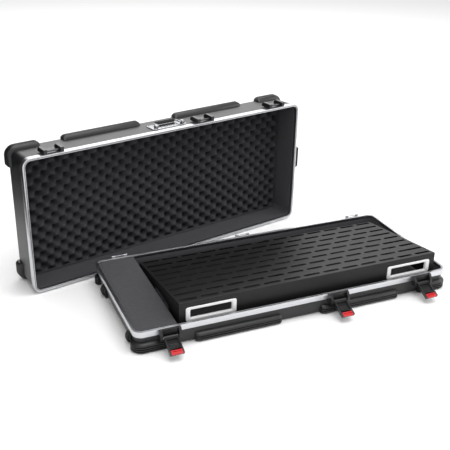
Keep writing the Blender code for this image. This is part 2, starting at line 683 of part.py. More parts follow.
# ---- Wheels -------------------------------------------------------------------------------------
WHEEL_X = -CASE_LENGTH / 2 - WHEEL_PROUD + WHEEL_RADIUS
WHEEL_Z = WHEEL_RADIUS + WHEEL_LIFT
HOUSING_HALF = WHEEL_WIDTH / 2 + WHEEL_SIDE + HOUSING_WALL


def housing_box(name, y, grow, open_by):
    """Block that a wheel housing fills, larger all round by grow, and open outwards and down by open_by."""
    pocket = WHEEL_RADIUS + WHEEL_GAP + HOUSING_WALL
    return box(name, (-CASE_LENGTH / 2 + HOUSING_INSET - open_by, y - HOUSING_HALF - grow, -open_by),
               (WHEEL_X + pocket + grow, y + HOUSING_HALF + grow, WHEEL_Z + pocket + grow))


def wheel_set(name, y, parent):
    """Housing in the foot of the left wall, steel axle and rubber-tyred wheel."""
    housing = housing_box("wheel_housing_" + name, y, 0.0, 0.0)
    as_part(housing, "abs", parent)
    reach = WHEEL_WIDTH / 2 + WHEEL_SIDE
    pocket = cylinder("pocket_" + name, WHEEL_RADIUS + WHEEL_GAP, (WHEEL_X, y - reach, WHEEL_Z),
                      (WHEEL_X, y + reach, WHEEL_Z), FINE_STEPS)
    boolean(housing, as_cutter(pocket, parent))
    past = HOUSING_HALF + OVERCUT
    bore = cylinder("housing_bore_" + name, WHEEL_AXLE + FIT, (WHEEL_X, y - past, WHEEL_Z),
                    (WHEEL_X, y + past, WHEEL_Z))
    boolean(housing, as_cutter(bore, parent))
    outer = HOUSING_HALF - FIT
    axle = cylinder("wheel_axle_" + name, WHEEL_AXLE, (WHEEL_X, y - outer, WHEEL_Z),
                    (WHEEL_X, y + outer, WHEEL_Z))
    as_part(axle, "chrome", parent)

    axis = frame_empty("axis_wheel_" + name, Matrix.Translation((WHEEL_X, y, WHEEL_Z)), parent)
    half = WHEEL_WIDTH / 2
    hub_edge, well_start, well_end, tyre_edge = (WHEEL_RADIUS * share for share in WHEEL_STEPS)
    crown = WHEEL_RADIUS * WHEEL_CROWN
    face = [(WHEEL_AXLE + FIT, half), (hub_edge, half), (well_start, half * WHEEL_WELL),
            (well_end, half * WHEEL_WELL), (tyre_edge, half), (WHEEL_RADIUS - crown, half),
            (WHEEL_RADIUS, half - crown)]
    profile = face + [(radius, -along) for radius, along in reversed(face)]
    as_part(turned("wheel_" + name, profile), "rubber", axis)


def turned(name, profile):
    """Spin a closed (radius, y) profile about the Y axis."""
    bm = bmesh.new()
    verts = [bm.verts.new((radius, y, 0.0)) for radius, y in profile]
    edges = [bm.edges.new(pair) for pair in zip(verts, verts[1:] + verts[:1])]
    bmesh.ops.spin(bm, geom=verts + edges, axis=(0, 1, 0), cent=(0, 0, 0), angle=math.tau,
                   steps=ROUND_STEPS, use_merge=True)
    bmesh.ops.remove_doubles(bm, verts=bm.verts, dist=0.00001)
    return object_from(bm, name)


# ---- Handles ------------------------------------------------------------------------------------
def wall_frame(name, turn, half_span, parent):
    """Frame on the lid's leaning outer wall: x along the wall, y outwards, z towards the rim."""
    top = shell_top(LID_HEIGHT, LID_DRAFT)
    lean = math.atan2(LID_DRAFT, top)
    out = half_span - SHELL_INSET - LID_DRAFT * (1 - HANDLE_UP / top)
    matrix = (Matrix.Rotation(turn, 4, "Z") @ Matrix.Translation((0, out, HANDLE_UP))
              @ Matrix.Rotation(-lean, 4, "X"))
    return frame_empty("axis_wall_" + name, matrix, parent)


def handle(name, turn, half_span, swing, parent):
    """Surface handle: chromed plate with two lugs, and a folding bail with a thick grip."""
    wall = wall_frame(name, turn, half_span, parent)
    long_side, short_side, thick = HANDLE_PLATE
    foot = 2 * FIT
    at = Matrix.Translation((0, foot + thick / 2, 0)) @ ALONG_XZ
    base = plate("handle_plate_" + name, [rounded_rectangle(long_side, short_side, HANDLE_PLATE_CORNER)],
                 thick, at)
    as_part(base, "chrome", wall)
    pivot_y = foot + thick + GRIP_CLEAR + HANDLE_GRIP
    leg = HANDLE_SPAN / 2
    for side, sx in ENDS:
        inner = leg + HANDLE_WIRE + 2 * FIT
        xs = sorted((sx * inner, sx * (inner + HANDLE_LUG)))
        lug = box("lug_" + name + "_" + side, (xs[0], foot + thick / 2, HANDLE_PIVOT_UP - HANDLE_PEG),
                  (xs[1], pivot_y + HANDLE_WIRE + LUG_COVER, HANDLE_PIVOT_UP + HANDLE_PEG), bevel=LUG_EDGE)
        boolean(base, as_cutter(lug, wall), "UNION")
    bore = cross_bar("lug_bore_" + name, HANDLE_WIRE + FIT, 0, long_side, pivot_y, HANDLE_PIVOT_UP)
    boolean(base, as_cutter(bore, wall))

    place = Matrix.Translation((0, pivot_y, HANDLE_PIVOT_UP)) @ Matrix.Rotation(swing, 4, "X")
    axis = frame_empty("axis_handle_" + name, place, wall)
    down = -(HANDLE_PIVOT_UP + HANDLE_GRIP_DOWN)
    grip = cross_bar("handle_grip_" + name, HANDLE_GRIP, 0, leg - GRIP_INSET, 0, down, SMALL_STEPS)
    as_part(grip, "rubber", axis)
    for side, sx in ENDS:
        peg_end = leg + HANDLE_WIRE + HANDLE_LUG - PEG_SHORT
        peg = cylinder("peg_" + name + side, HANDLE_WIRE, (sx * (leg - PEG_OVERLAP), 0, 0),
                       (sx * peg_end, 0, 0), SMALL_STEPS)
        xs = sorted((sx * (leg - ARM_INSET), sx * (leg + HANDLE_WIRE)))
        arm = box("arm_" + name + side, (xs[0], -HANDLE_WIRE, down - HANDLE_WIRE),
                  (xs[1], HANDLE_WIRE, HANDLE_WIRE + ARM_OVER))
        boolean(grip, as_cutter(arm, axis), "UNION")
        boolean(grip, as_cutter(peg, axis), "UNION")


# ---- Assembly -----------------------------------------------------------------------------------
def build_base():
    frame = frame_empty("case_base", Matrix.Identity(4))
    tray = shell("base_shell", BASE_HEIGHT, BASE_DRAFT, frame)
    rim("base_rim", BASE_HEIGHT, frame)
    pad = padding("base_floor_pad", SHELL_WALL + FIT, FLOOR_PAD, BASE_DRAFT, frame, "lining")
    block = side_foam(frame)
    edge_guards("base", BASE_HEIGHT, BASE_DRAFT, BUMPER_BY_WHEEL, frame)
    for name, sy in SIDES:
        y = WHEEL_SHIFT + sy * WHEEL_OFFSET
        wheel_set(name, y, frame)
        room = as_cutter(housing_box("housing_room_" + name, y, FIT, 4 * FIT), frame)
        for cut in (tray, pad, block):
            boolean(cut, room)
    for name, x in latch_places():
        latch_bracket("latch_bracket_" + name, x, frame)
        latch_lever(name, x, frame)
    half = HINGE_WIDTH / 2
    ends = ((-half, -half + KNUCKLE_END), (half - KNUCKLE_END, half))
    for name, x in hinge_places():
        hinge_half("hinge_base_" + name, x, 1, BASE_HEIGHT, KNUCKLE_UP, ends, True, frame)


def side_foam(parent):
    """Foam block beside the board, level with the rim, cut to the tray's leaning walls."""
    bottom = SHELL_WALL + FLOOR_PAD + 2 * FIT
    inset = RIM_FACE + FOAM_SIDE_GAP
    lean = BASE_DRAFT - (RIM_FACE - SHELL_INSET - SHELL_WALL) + FOAM_LEAN
    block = case_block("side_foam_block", CASE_LENGTH - 2 * inset, CASE_WIDTH - 2 * inset, bottom,
                       BASE_HEIGHT - FOAM_DOWN, lean, CASE_CORNER - inset, 0.0)
    as_part(block, "lining", parent)
    edge = -CASE_LENGTH / 2 + inset + FOAM_BLOCK_WIDTH
    region = box("side_foam_region", (-CASE_LENGTH, -CASE_WIDTH, -OVERCUT),
                 (edge, CASE_WIDTH, BASE_HEIGHT + OVERCUT))
    boolean(block, as_cutter(region, parent), "INTERSECT")
    return block


def build_board():
    x = CASE_LENGTH / 2 - RIM_FACE - RIGHT_GAP - BOARD_LENGTH / 2
    y = -CASE_WIDTH / 2 + RIM_FACE + FRONT_GAP
    z = SHELL_WALL + FLOOR_PAD + 2 * FIT
    frame = frame_empty("pedalboard_frame", Matrix.Translation((x, y, z)))
    board_deck(frame)
    board_ends(frame)
    bay_frames(frame)
    board_feet(frame)


def build_lid():
    """The lid is drawn as a tray on its closed face, then stood on its hinge edge and turned."""
    corner = (-CASE_LENGTH / 2 - LID_ASIDE, CASE_WIDTH / 2 - LID_CLOSE, PROUD)
    stand = (Matrix.Translation(corner) @ Matrix.Rotation(LID_YAW, 4, "Z")
             @ Matrix.Translation((CASE_LENGTH / 2, LID_HEIGHT, CASE_WIDTH / 2))
             @ Matrix.Rotation(math.radians(90), 4, "X"))
    frame = frame_empty("case_lid", stand)
    shell("lid_shell", LID_HEIGHT, LID_DRAFT, frame)
    rim("lid_rim", LID_HEIGHT, frame)
    padding("lid_foam", SHELL_WALL + FIT, LID_FOAM, LID_DRAFT, frame, "foam")
    edge_guards("lid", LID_HEIGHT, LID_DRAFT, BUMPER_SHORT, frame)
    for name, x in latch_places():
        keeper("latch_keeper_" + name, x, frame)
    middle = HINGE_WIDTH / 2 - KNUCKLE_END - KNUCKLE_GAP
    for name, x in hinge_places():
        hinge_half("hinge_lid_" + name, x, -1, LID_HEIGHT, -KNUCKLE_UP, ((-middle, middle),), False, frame)
    handle("top", 0.0, CASE_WIDTH / 2, 0.0, frame)
    handle("end", math.radians(-90), CASE_LENGTH / 2, END_BAIL_OUT, frame)


build_base()
build_board()
build_lid()
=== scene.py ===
"""Looks of the slotted pedalboard in its wheeled flight case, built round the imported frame."""
import json
import math
import random

import bmesh
import bpy
from mathutils import Matrix, Vector


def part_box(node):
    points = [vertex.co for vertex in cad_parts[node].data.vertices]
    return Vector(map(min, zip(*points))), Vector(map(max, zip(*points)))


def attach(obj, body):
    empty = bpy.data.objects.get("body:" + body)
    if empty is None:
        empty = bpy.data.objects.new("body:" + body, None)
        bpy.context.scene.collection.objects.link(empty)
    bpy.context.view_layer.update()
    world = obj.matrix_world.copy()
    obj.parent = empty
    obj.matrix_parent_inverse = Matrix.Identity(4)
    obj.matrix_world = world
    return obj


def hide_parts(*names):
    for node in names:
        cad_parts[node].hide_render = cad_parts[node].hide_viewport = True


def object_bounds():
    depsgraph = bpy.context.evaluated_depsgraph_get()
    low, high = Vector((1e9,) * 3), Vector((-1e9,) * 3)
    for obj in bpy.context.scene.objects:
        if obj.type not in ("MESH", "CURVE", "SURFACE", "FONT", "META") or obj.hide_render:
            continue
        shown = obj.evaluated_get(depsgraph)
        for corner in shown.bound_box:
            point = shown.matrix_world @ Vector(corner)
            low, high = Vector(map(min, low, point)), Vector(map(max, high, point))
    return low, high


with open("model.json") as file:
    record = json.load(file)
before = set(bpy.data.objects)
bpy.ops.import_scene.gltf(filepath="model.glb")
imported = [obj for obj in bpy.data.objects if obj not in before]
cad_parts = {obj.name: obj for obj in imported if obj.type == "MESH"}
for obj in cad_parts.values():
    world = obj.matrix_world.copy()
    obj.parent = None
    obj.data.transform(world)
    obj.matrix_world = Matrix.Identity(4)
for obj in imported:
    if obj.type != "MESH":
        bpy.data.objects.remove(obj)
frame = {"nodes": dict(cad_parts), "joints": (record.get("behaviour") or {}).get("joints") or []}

bl_info = {
    "name": "Pedalboard flight case",
    "version": (1, 0, 0),
    "blender": (4, 5, 0),
    "location": "3D View > Sidebar > Pedalboard",
    "description": "Builds the finished look of a slotted pedalboard in its moulded flight case",
    "category": "Add Mesh",
}

MM = 0.001
CAD_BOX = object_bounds()

# ---- Sizes read from the frame ------------------------------------------------------------------
RIM_LOW, RIM_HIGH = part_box("base_rim")
LENGTH = RIM_HIGH.x - RIM_LOW.x
WIDTH = RIM_HIGH.y - RIM_LOW.y
BASE_HEIGHT = RIM_HIGH.z
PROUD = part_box("base_bumper_front_right")[1].x - LENGTH / 2
JOINTS = {joint["name"]: joint for joint in frame["joints"]}


def extent(node, direction):
    """How far a node reaches along a direction, as (least, most)."""
    reach = [v.co.dot(direction) for v in frame["nodes"][node].data.vertices]
    return min(reach), max(reach)


LID_YAW = math.atan2(JOINTS["handle_top_fold"]["axis"][1], JOINTS["handle_top_fold"]["axis"][0])
LID_ALONG = Vector((math.cos(LID_YAW), math.sin(LID_YAW), 0.0))
LID_BACK = Vector((-math.sin(LID_YAW), math.cos(LID_YAW), 0.0))
LID_UP = Vector((0.0, 0.0, 1.0))
LID_FACE = extent("lid_rim", LID_BACK)[0]
LID_HEIGHT = extent("lid_shell", LID_BACK)[1] - LID_FACE


def lid_stand():
    """From the lid drawn as a tray on its closed face to where it stands on its hinge edge."""
    middle = sum(extent("lid_rim", LID_ALONG)) / 2
    height = sum(extent("lid_rim", LID_UP)) / 2
    origin = LID_ALONG * middle + LID_BACK * (LID_FACE + LID_HEIGHT) + LID_UP * height
    turn = Matrix((LID_ALONG, LID_UP, -LID_BACK)).transposed().to_4x4()
    return Matrix.Translation(origin) @ turn


LID = lid_stand()
BASE = Matrix.Identity(4)

# ---- Case sizes ---------------------------------------------------------------------------------
FIT = 0.3 * MM
CORNER = 32 * MM
CORNER_STEPS = 18
EDGE = 12 * MM
WALL = 3.5 * MM
SHELL_INSET = 2.3 * MM
RIM_CAP = 4 * MM
RIM_FACE = 9.5 * MM
BASE_DRAFT = 10 * MM
LID_DRAFT = 7.5 * MM
LINING = 1.7 * MM
SIDES = (("front", -1), ("rear", 1))
ENDS = (("left", -1), ("right", 1))
HALVES = (("base", "case_base", BASE, BASE_HEIGHT, BASE_DRAFT),
          ("lid", "case_lid", LID, LID_HEIGHT, LID_DRAFT))


def shell_inset(z, height, draft):
    """How far the leaning wall's outside lies in from the rim's outer face at a height."""
    top = height - RIM_CAP
    return SHELL_INSET + draft * (1 - z / top)


# ---- Colours and nodes --------------------------------------------------------------------------
def linear(colour):
    """An sRGB hex colour as linear red, green and blue."""
    levels = [int(colour[i:i + 2], 16) / 255 for i in (0, 2, 4)]
    return [v / 12.92 if v <= 0.04045 else ((v + 0.055) / 1.055) ** 2.4 for v in levels]


def rgba(colour):
    return (*colour, 1.0)


def per_size(millimetres):
    """Texture scale that gives a pattern of this size on coordinates in metres."""
    return 1000.0 / millimetres


def add(tree, kind, inputs=None, **settings):
    """Add a node with its settings; an input is a value, or another node's output to link."""
    node = tree.nodes.new(kind)
    for name, value in settings.items():
        setattr(node, name, value)
    for name, value in (inputs or {}).items():
        if isinstance(value, bpy.types.NodeSocket):
            tree.links.new(value, node.inputs[name])
        else:
            node.inputs[name].default_value = value
    return node


def finish(name, **sockets):
    """A new material, its node tree, its shader, and the place on the surface in metres."""
    made = bpy.data.materials.new(name)
    made.use_nodes = True
    tree = made.node_tree
    shader = tree.nodes["Principled BSDF"]
    for socket, value in sockets.items():
        shader.inputs[socket.replace("_", " ")].default_value = value
    place = add(tree, "ShaderNodeTexCoord").outputs["Object"]
    return made, tree, shader, place


def noise(tree, place, size, detail):
    """Soft cloudy pattern with patches of a size in millimetres."""
    pattern = add(tree, "ShaderNodeTexNoise", {"Vector": place, "Scale": per_size(size), "Detail": detail})
    return pattern.outputs["Fac"]


def cells(tree, place, size, feature="F1"):
    """Pattern of cells of a size in millimetres, by the distance from their middles."""
    pattern = add(tree, "ShaderNodeTexVoronoi", {"Vector": place, "Scale": per_size(size)}, feature=feature)
    return pattern.outputs["Distance"]


def math_of(tree, first, second, operation):
    return add(tree, "ShaderNodeMath", {0: first, 1: second}, operation=operation).outputs[0]


def mottle(tree, place, shader, colour, dark, light, size, detail=4.0):
    """Colour that drifts between a darker and a lighter share of itself over patches of a size."""
    patches = noise(tree, place, size, detail)
    mix = add(tree, "ShaderNodeMix", {"Factor": patches}, data_type="RGBA")
    mix.inputs[6].default_value = rgba([v * dark for v in colour])
    mix.inputs[7].default_value = rgba([v * light for v in colour])
    tree.links.new(mix.outputs[2], shader.inputs["Base Color"])
    return patches


def rough_between(tree, pattern, shader, low, high):
    """Roughness that follows a pattern between two values."""
    span = add(tree, "ShaderNodeMapRange", {"Value": pattern, "To Min": low, "To Max": high})
    tree.links.new(span.outputs["Result"], shader.inputs["Roughness"])


def relief(tree, shader, height, depth, strength):
    """Raise the surface by a pattern, by a depth in millimetres."""
    bump = add(tree, "ShaderNodeBump", {"Height": height, "Distance": depth * MM, "Strength": strength})
    tree.links.new(bump.outputs["Normal"], shader.inputs["Normal"])


# ---- Materials ----------------------------------------------------------------------------------
def grained_abs(colour):
    """ABS sheet, vacuum-formed over a leather-grain tool: pebbles that break up a soft wide shine."""
    made, tree, shader, place = finish("vacuum_formed_grained_abs", Roughness=0.40, IOR=1.50)
    mottle(tree, place, shader, colour, 0.85, 1.2, 60)
    # Real pebbles are about 1 mm; drawn at 2.6 mm so that they show.
    pebbles = math_of(tree, cells(tree, place, 2.6, "SMOOTH_F1"), -0.9, "MULTIPLY")
    pores = noise(tree, place, 1.1, 3.0)
    relief(tree, shader, math_of(tree, pebbles, pores, "ADD"), 0.22, 0.75)
    rough_between(tree, pores, shader, 0.32, 0.46)
    return made


def moulded_abs(colour):
    """Injection-moulded ABS: a fine spark-eroded texture, duller than the grained sheet."""
    made, tree, shader, place = finish("injection_moulded_abs", Roughness=0.42, IOR=1.48)
    grit = noise(tree, place, 0.9, 4.0)
    mottle(tree, place, shader, colour, 0.85, 1.15, 25)
    relief(tree, shader, grit, 0.10, 0.5)
    rough_between(tree, grit, shader, 0.30, 0.42)
    return made


def anodised_aluminium(colour):
    """Extruded aluminium, satin anodised: a fine grain left by etching, and slight clouding."""
    made, tree, shader, place = finish("anodised_aluminium_extrusion", Metallic=1.0, Roughness=0.3)
    mottle(tree, place, shader, colour, 0.94, 1.0, 40)
    lines = noise(tree, place, 0.8, 2.0)
    relief(tree, shader, lines, 0.03, 0.4)
    rough_between(tree, lines, shader, 0.22, 0.36)
    return made


# Painted shade and painted light on the foam: shares of its colour in the valleys and at the peaks.
VALLEY_PAINTED_SHADE = 0.4
PEAK_PAINTED_LIGHT = 1.35


def convoluted_foam(colour, valley, peak):
    """Open-cell polyurethane foam, cut between profiled rollers: dead matt, torn pores, painted shade in the
    valleys and painted light on the peaks.
    """
    made, tree, shader, place = finish("convoluted_open_cell_foam", Roughness=1.0, IOR=1.3)
    mottle(tree, place, shader, colour, 0.75, 1.3, 2.2, 6.0)
    speckled = shader.inputs["Base Color"].links[0].from_socket
    # Painted shade and painted light: the colour is drawn darker towards the valleys than real foam is, as
    # the shade that falls in them, and paler at the peaks, as the light on them.
    back = add(tree, "ShaderNodeVectorMath", {0: place, 1: LID_BACK}, operation="DOT_PRODUCT")
    foot = LID_FACE + LID_HEIGHT - WALL
    painted_depth_light = add(tree, "ShaderNodeMapRange", {"Value": back.outputs["Value"], "From Min": foot - valley,
                                            "From Max": foot - peak, "To Min": VALLEY_PAINTED_SHADE,
                                            "To Max": PEAK_PAINTED_LIGHT})
    shade = add(tree, "ShaderNodeVectorMath", {0: speckled, "Scale": painted_depth_light.outputs["Result"]},
                operation="SCALE")
    tree.links.new(shade.outputs["Vector"], shader.inputs["Base Color"])
    # Real cells are about 0.6 mm; drawn at 1.6 mm so that they show.
    relief(tree, shader, cells(tree, place, 1.6), 0.5, 0.7)
    return made


def brushed_lining(name, colour, patch):
    """Knitted nylon, brushed to a short nap and laminated to foam: soft, flecked, no shine."""
    made, tree, shader, place = finish(name, Roughness=0.95, IOR=1.45, Sheen_Weight=0.12, Sheen_Roughness=0.5)
    fibres = mottle(tree, place, shader, colour, 0.72, 1.3, patch, 8.0)
    relief(tree, shader, math_of(tree, cells(tree, place, 1.1), fibres, "ADD"), 0.25, 0.6)
    return made


def powder_coat(colour):
    """Steel with a fine-texture black powder coat: dense orange peel and a low satin shine."""
    made, tree, shader, place = finish("fine_texture_powder_coat", Roughness=0.5, IOR=1.38)
    mottle(tree, place, shader, colour, 0.88, 1.15, 30)
    # Real peel is about 0.5 mm; drawn at 1.2 mm so that it shows.
    peel = noise(tree, place, 1.2, 3.0)
    relief(tree, shader, peel, 0.12, 0.5)
    rough_between(tree, peel, shader, 0.44, 0.58)
    return made


def satin_plastic(name, colour, roughness, size=1.0):
    """Moulded plastic part with a light satin texture and a faint unevenness of colour."""
    made, tree, shader, place = finish(name, Roughness=roughness, IOR=1.49)
    mottle(tree, place, shader, colour, 0.95, 1.0, 18)
    grit = noise(tree, place, size, 3.0)
    relief(tree, shader, grit, 0.05, 0.4)
    rough_between(tree, grit, shader, roughness * 0.85, roughness * 1.15)
    return made


def glass_filled_nylon(colour):
    """Glass-filled nylon, moulded: short fibres leave a faintly streaked, satin skin."""
    made, tree, shader, place = finish("glass_filled_nylon", Roughness=0.34, IOR=1.5)
    stretched = add(tree, "ShaderNodeMapping", {"Vector": place, "Scale": (1.0, 0.3, 1.0)})
    fibres = noise(tree, stretched.outputs[0], 1.5, 4.0)
    mottle(tree, place, shader, colour, 0.85, 1.2, 9)
    relief(tree, shader, fibres, 0.06, 0.5)
    rough_between(tree, fibres, shader, 0.26, 0.42)
    return made


def moulded_rubber(colour):
    """Natural rubber, compression moulded: matt and slightly dusty."""
    made, tree, shader, place = finish("compression_moulded_rubber", Roughness=0.75, IOR=1.52)
    bloom = mottle(tree, place, shader, colour, 0.8, 1.35, 7, 6.0)
    relief(tree, shader, bloom, 0.15, 0.5)
    rough_between(tree, bloom, shader, 0.65, 0.85)
    return made


def nickel_plate(colour):
    """Steel with bright nickel plate: sharp reflections, slightly waved by the pressing below."""
    made, tree, shader, place = finish("bright_nickel_plate", Metallic=1.0, Roughness=0.12)
    waves = mottle(tree, place, shader, colour, 0.95, 1.0, 12)
    relief(tree, shader, waves, 0.08, 0.3)
    rough_between(tree, waves, shader, 0.18, 0.30)
    return made


def blackened_steel(colour):
    """Steel, chemically blackened and oiled: dark metal with a soft shine and slight clouding."""
    made, tree, shader, place = finish("blackened_steel", Metallic=1.0, Roughness=0.35)
    clouds = mottle(tree, place, shader, colour, 0.8, 1.2, 5)
    relief(tree, shader, clouds, 0.04, 0.3)
    rough_between(tree, clouds, shader, 0.28, 0.42)
    return made


PALETTE = {}


def make_palette(settings):
    """Every finish, once, under its short name."""
    PALETTE["abs"] = grained_abs(settings.shell_colour)
    PALETTE["guard"] = moulded_abs(settings.guard_colour)
    PALETTE["rim"] = anodised_aluminium(settings.rim_colour)
    PALETTE["foam"] = convoluted_foam(settings.foam_colour, settings.crate_valley, settings.crate_peak)
    PALETTE["lining"] = brushed_lining("brushed_nylon_lining", settings.lining_colour, 1.3)
    PALETTE["block"] = brushed_lining("brushed_nylon_on_side_block", settings.block_colour, 14.0)
    PALETTE["deck"] = powder_coat(settings.deck_colour)
    PALETTE["bay"] = satin_plastic("satin_white_abs", settings.bay_colour, 0.35)
    PALETTE["nylon"] = glass_filled_nylon(settings.latch_colour)
    PALETTE["red"] = satin_plastic("satin_red_acetal", settings.release_colour, 0.3, 2.0)
    PALETTE["rubber"] = moulded_rubber(settings.rubber_colour)
    PALETTE["hub"] = satin_plastic("moulded_grey_polypropylene", linear("4a4b4e"), 0.45)
    PALETTE["nickel"] = nickel_plate(settings.nickel_colour)
    PALETTE["dark_steel"] = blackened_steel(linear("55565a"))


# ---- Mesh helpers -------------------------------------------------------------------------------
def rounded_rectangle(length, width, radius, steps, centre=(0.0, 0.0)):
    """Points of a rounded rectangle, anticlockwise from the right side's upper end."""
    radius = max(radius, 0.2 * MM)
    points = []
    for quarter, (sx, sy) in enumerate(((1, 1), (-1, 1), (-1, -1), (1, -1))):
        cx = centre[0] + sx * (length / 2 - radius)
        cy = centre[1] + sy * (width / 2 - radius)
        for step in range(steps + 1):
            angle = math.radians(90 * (quarter + step / steps))
            points.append((cx + radius * math.cos(angle), cy + radius * math.sin(angle)))
    return points


def rounded(points, radius, steps, closed=True):
    """A 2D line with its corners rounded by arcs."""
    points = [Vector(p) for p in points]
    count = len(points)
    made = []
    for i, corner in enumerate(points):
        if not closed and i in (0, count - 1):
            made.append(tuple(corner))
            continue
        before = points[i - 1] - corner
        after = points[(i + 1) % count] - corner
        half = before.angle(after) / 2
        if half > math.radians(89):
            made.append(tuple(corner))
            continue
        reach = min(radius / math.tan(half), 0.45 * before.length, 0.45 * after.length)
        arc = reach * math.tan(half)
        centre = corner + (before.normalized() + after.normalized()).normalized() * arc / math.sin(half)
        start = corner + before.normalized() * reach - centre
        end = corner + after.normalized() * reach - centre
        turn = start.angle_signed(end)
        for step in range(steps + 1):
            angle = -turn * step / steps
            c, s = math.cos(angle), math.sin(angle)
            made.append((centre.x + start.x * c - start.y * s, centre.y + start.x * s + start.y * c))
    return made


def skin(bm, loops, around=True, along=False):
    """Quads between neighbouring loops of the same count."""
    pairs = list(zip(loops, loops[1:]))
    if along:
        pairs.append((loops[-1], loops[0]))
    for first, second in pairs:
        count = len(first)
        for i in range(count if around else count - 1):
            j = (i + 1) % count
            bm.faces.new((first[i], first[j], second[j], second[i]))


def stack(rows, steps=CORNER_STEPS, closed=False):
    """Rounded rectangles (length, width, corner, height) skinned in order: a ring, or a capped block."""
    bm = bmesh.new()
    loops = [[bm.verts.new((x, y, z)) for x, y in rounded_rectangle(length, width, corner, steps)]
             for length, width, corner, z in rows]
    skin(bm, loops, along=closed)
    if not closed:
        bm.faces.new(loops[0])
        bm.faces.new(loops[-1])
    return bm


def turned(profile, steps):
    """A closed (radius, along) section spun about the Y axis; a radius of 0 ends on the axis."""
    bm = bmesh.new()
    loops = []
    for step in range(steps):
        angle = math.tau * step / steps
        c, s = math.cos(angle), math.sin(angle)
        loops.append([bm.verts.new((radius * c, y, radius * s)) for radius, y in profile])
    skin(bm, loops, around=True, along=True)
    bmesh.ops.remove_doubles(bm, verts=bm.verts, dist=0.001 * MM)
    return bm


def block(low, high, bevel=0.8 * MM, segments=3):
    """A box with rounded edges."""
    bm = bmesh.new()
    bmesh.ops.create_cube(bm, size=1.0)
    low, high = Vector(low), Vector(high)
    bmesh.ops.scale(bm, vec=high - low, verts=bm.verts)
    bmesh.ops.translate(bm, vec=(high + low) / 2, verts=bm.verts)
    if bevel:
        bmesh.ops.bevel(bm, geom=bm.edges[:], offset=bevel, segments=segments, profile=0.5, affect="EDGES")
    return bm


def prism(outline, low, high):
    """A flat outline in (y, z) drawn out along x."""
    bm = bmesh.new()
    ends = [[bm.verts.new((x, y, z)) for y, z in outline] for x in (low, high)]
    skin(bm, ends)
    bm.faces.new(ends[0])
    bm.faces.new(ends[1])
    return bm


def bar(radius, start, end, steps, dome=0.3):
    """A round bar between two points, its ends domed by a share of the radius."""
    start, end = Vector(start), Vector(end)
    length = (end - start).length
    cap = radius * dome
    arc = [(radius * math.sin(a), cap * math.cos(a)) for a in (math.radians(15 * i) for i in range(7))]
    arc[0] = (0.0, cap)
    far = length / 2 - cap
    profile = [(r, far + y) for r, y in arc] + [(r, -far - y) for r, y in reversed(arc)]
    bm = bmesh.new()
    loops = []
    for step in range(steps):
        angle = math.tau * step / steps
        loops.append([bm.verts.new((r * math.cos(angle), y, r * math.sin(angle))) for r, y in profile])
    skin(bm, loops, around=False, along=True)
    bmesh.ops.remove_doubles(bm, verts=bm.verts, dist=0.001 * MM)
    turn = Vector((0, 1, 0)).rotation_difference(end - start).to_matrix().to_4x4()
    bmesh.ops.transform(bm, matrix=Matrix.Translation((start + end) / 2) @ turn, verts=bm.verts)
    return bm


def as_object(name, bm, finish_name, smooth=35):
    bmesh.ops.recalc_face_normals(bm, faces=bm.faces)
    mesh = bpy.data.meshes.new(name)
    bm.to_mesh(mesh)
    bm.free()
    made = bpy.data.objects.new(name, mesh)
    bpy.context.scene.collection.objects.link(made)
    mesh.materials.append(PALETTE[finish_name])
    mesh.shade_smooth()
    mesh.set_sharp_from_angle(angle=math.radians(smooth))
    return made


def settle(obj, smooth=35):
    """Turn an object's modifiers into its mesh."""
    bpy.context.view_layer.update()
    depsgraph = bpy.context.evaluated_depsgraph_get()
    mesh = bpy.data.meshes.new_from_object(obj.evaluated_get(depsgraph))
    obj.modifiers.clear()
    obj.data = mesh
    mesh.shade_smooth()
    mesh.set_sharp_from_angle(angle=math.radians(smooth))
    return obj


def combine(obj, shape, operation, crossing=False, smooth=35):
    """Join a shape to an object, or cut it away, for good; a shape may cross itself."""
    tool = as_object(obj.name + "_tool", shape, "nylon")
    step = obj.modifiers.new("step", "BOOLEAN")
    step.operation = operation
    step.solver = "EXACT"
    step.use_self = crossing
    step.object = tool
    settle(obj, smooth)
    bpy.data.objects.remove(tool, do_unlink=True)
    return obj


def soften(obj, width, angle):
    """Round the sharp edges left by joining and cutting."""
    edge = obj.modifiers.new("edge", "BEVEL")
    edge.width = width
    edge.segments = 3
    edge.limit_method = "ANGLE"
    edge.angle_limit = math.radians(angle)
    return settle(obj)


def even_shine(obj):
    """Let the large faces rule the shading, so that rounded edges don't bend it."""
    weighted = obj.modifiers.new("even_shine", "WEIGHTED_NORMAL")
    weighted.keep_sharp = True
    return obj


def fit(obj, body, slot, *nodes, at=None):
    """Put a piece in place on its body, and hide the CAD nodes that it stands for."""
    if at is not None:
        obj.data.transform(at)
    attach(obj, body)
    if nodes:
        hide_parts(*nodes)
    return obj


def refinish(node, finish_name, edge):
    """Give a CAD node that is kept its material, and rounded edges."""
    obj = frame["nodes"][node]
    obj.data.materials.clear()
    obj.data.materials.append(PALETTE[finish_name])
    weld = obj.modifiers.new("weld", "WELD")
    weld.merge_threshold = 0.01 * MM
    bevel = obj.modifiers.new("edge", "BEVEL")
    bevel.width = edge
    bevel.segments = 2
    bevel.limit_method = "ANGLE"
    bevel.angle_limit = math.radians(40)
    even_shine(obj)


def mesh_of(curve):
    """The mesh that a curve draws; the curve's own object is removed."""
    drawn = bpy.data.objects.new(curve.name, curve)
    bpy.context.scene.collection.objects.link(drawn)
    mesh = bpy.data.meshes.new_from_object(drawn.evaluated_get(bpy.context.evaluated_depsgraph_get()))
    bpy.data.objects.remove(drawn, do_unlink=True)
    return mesh


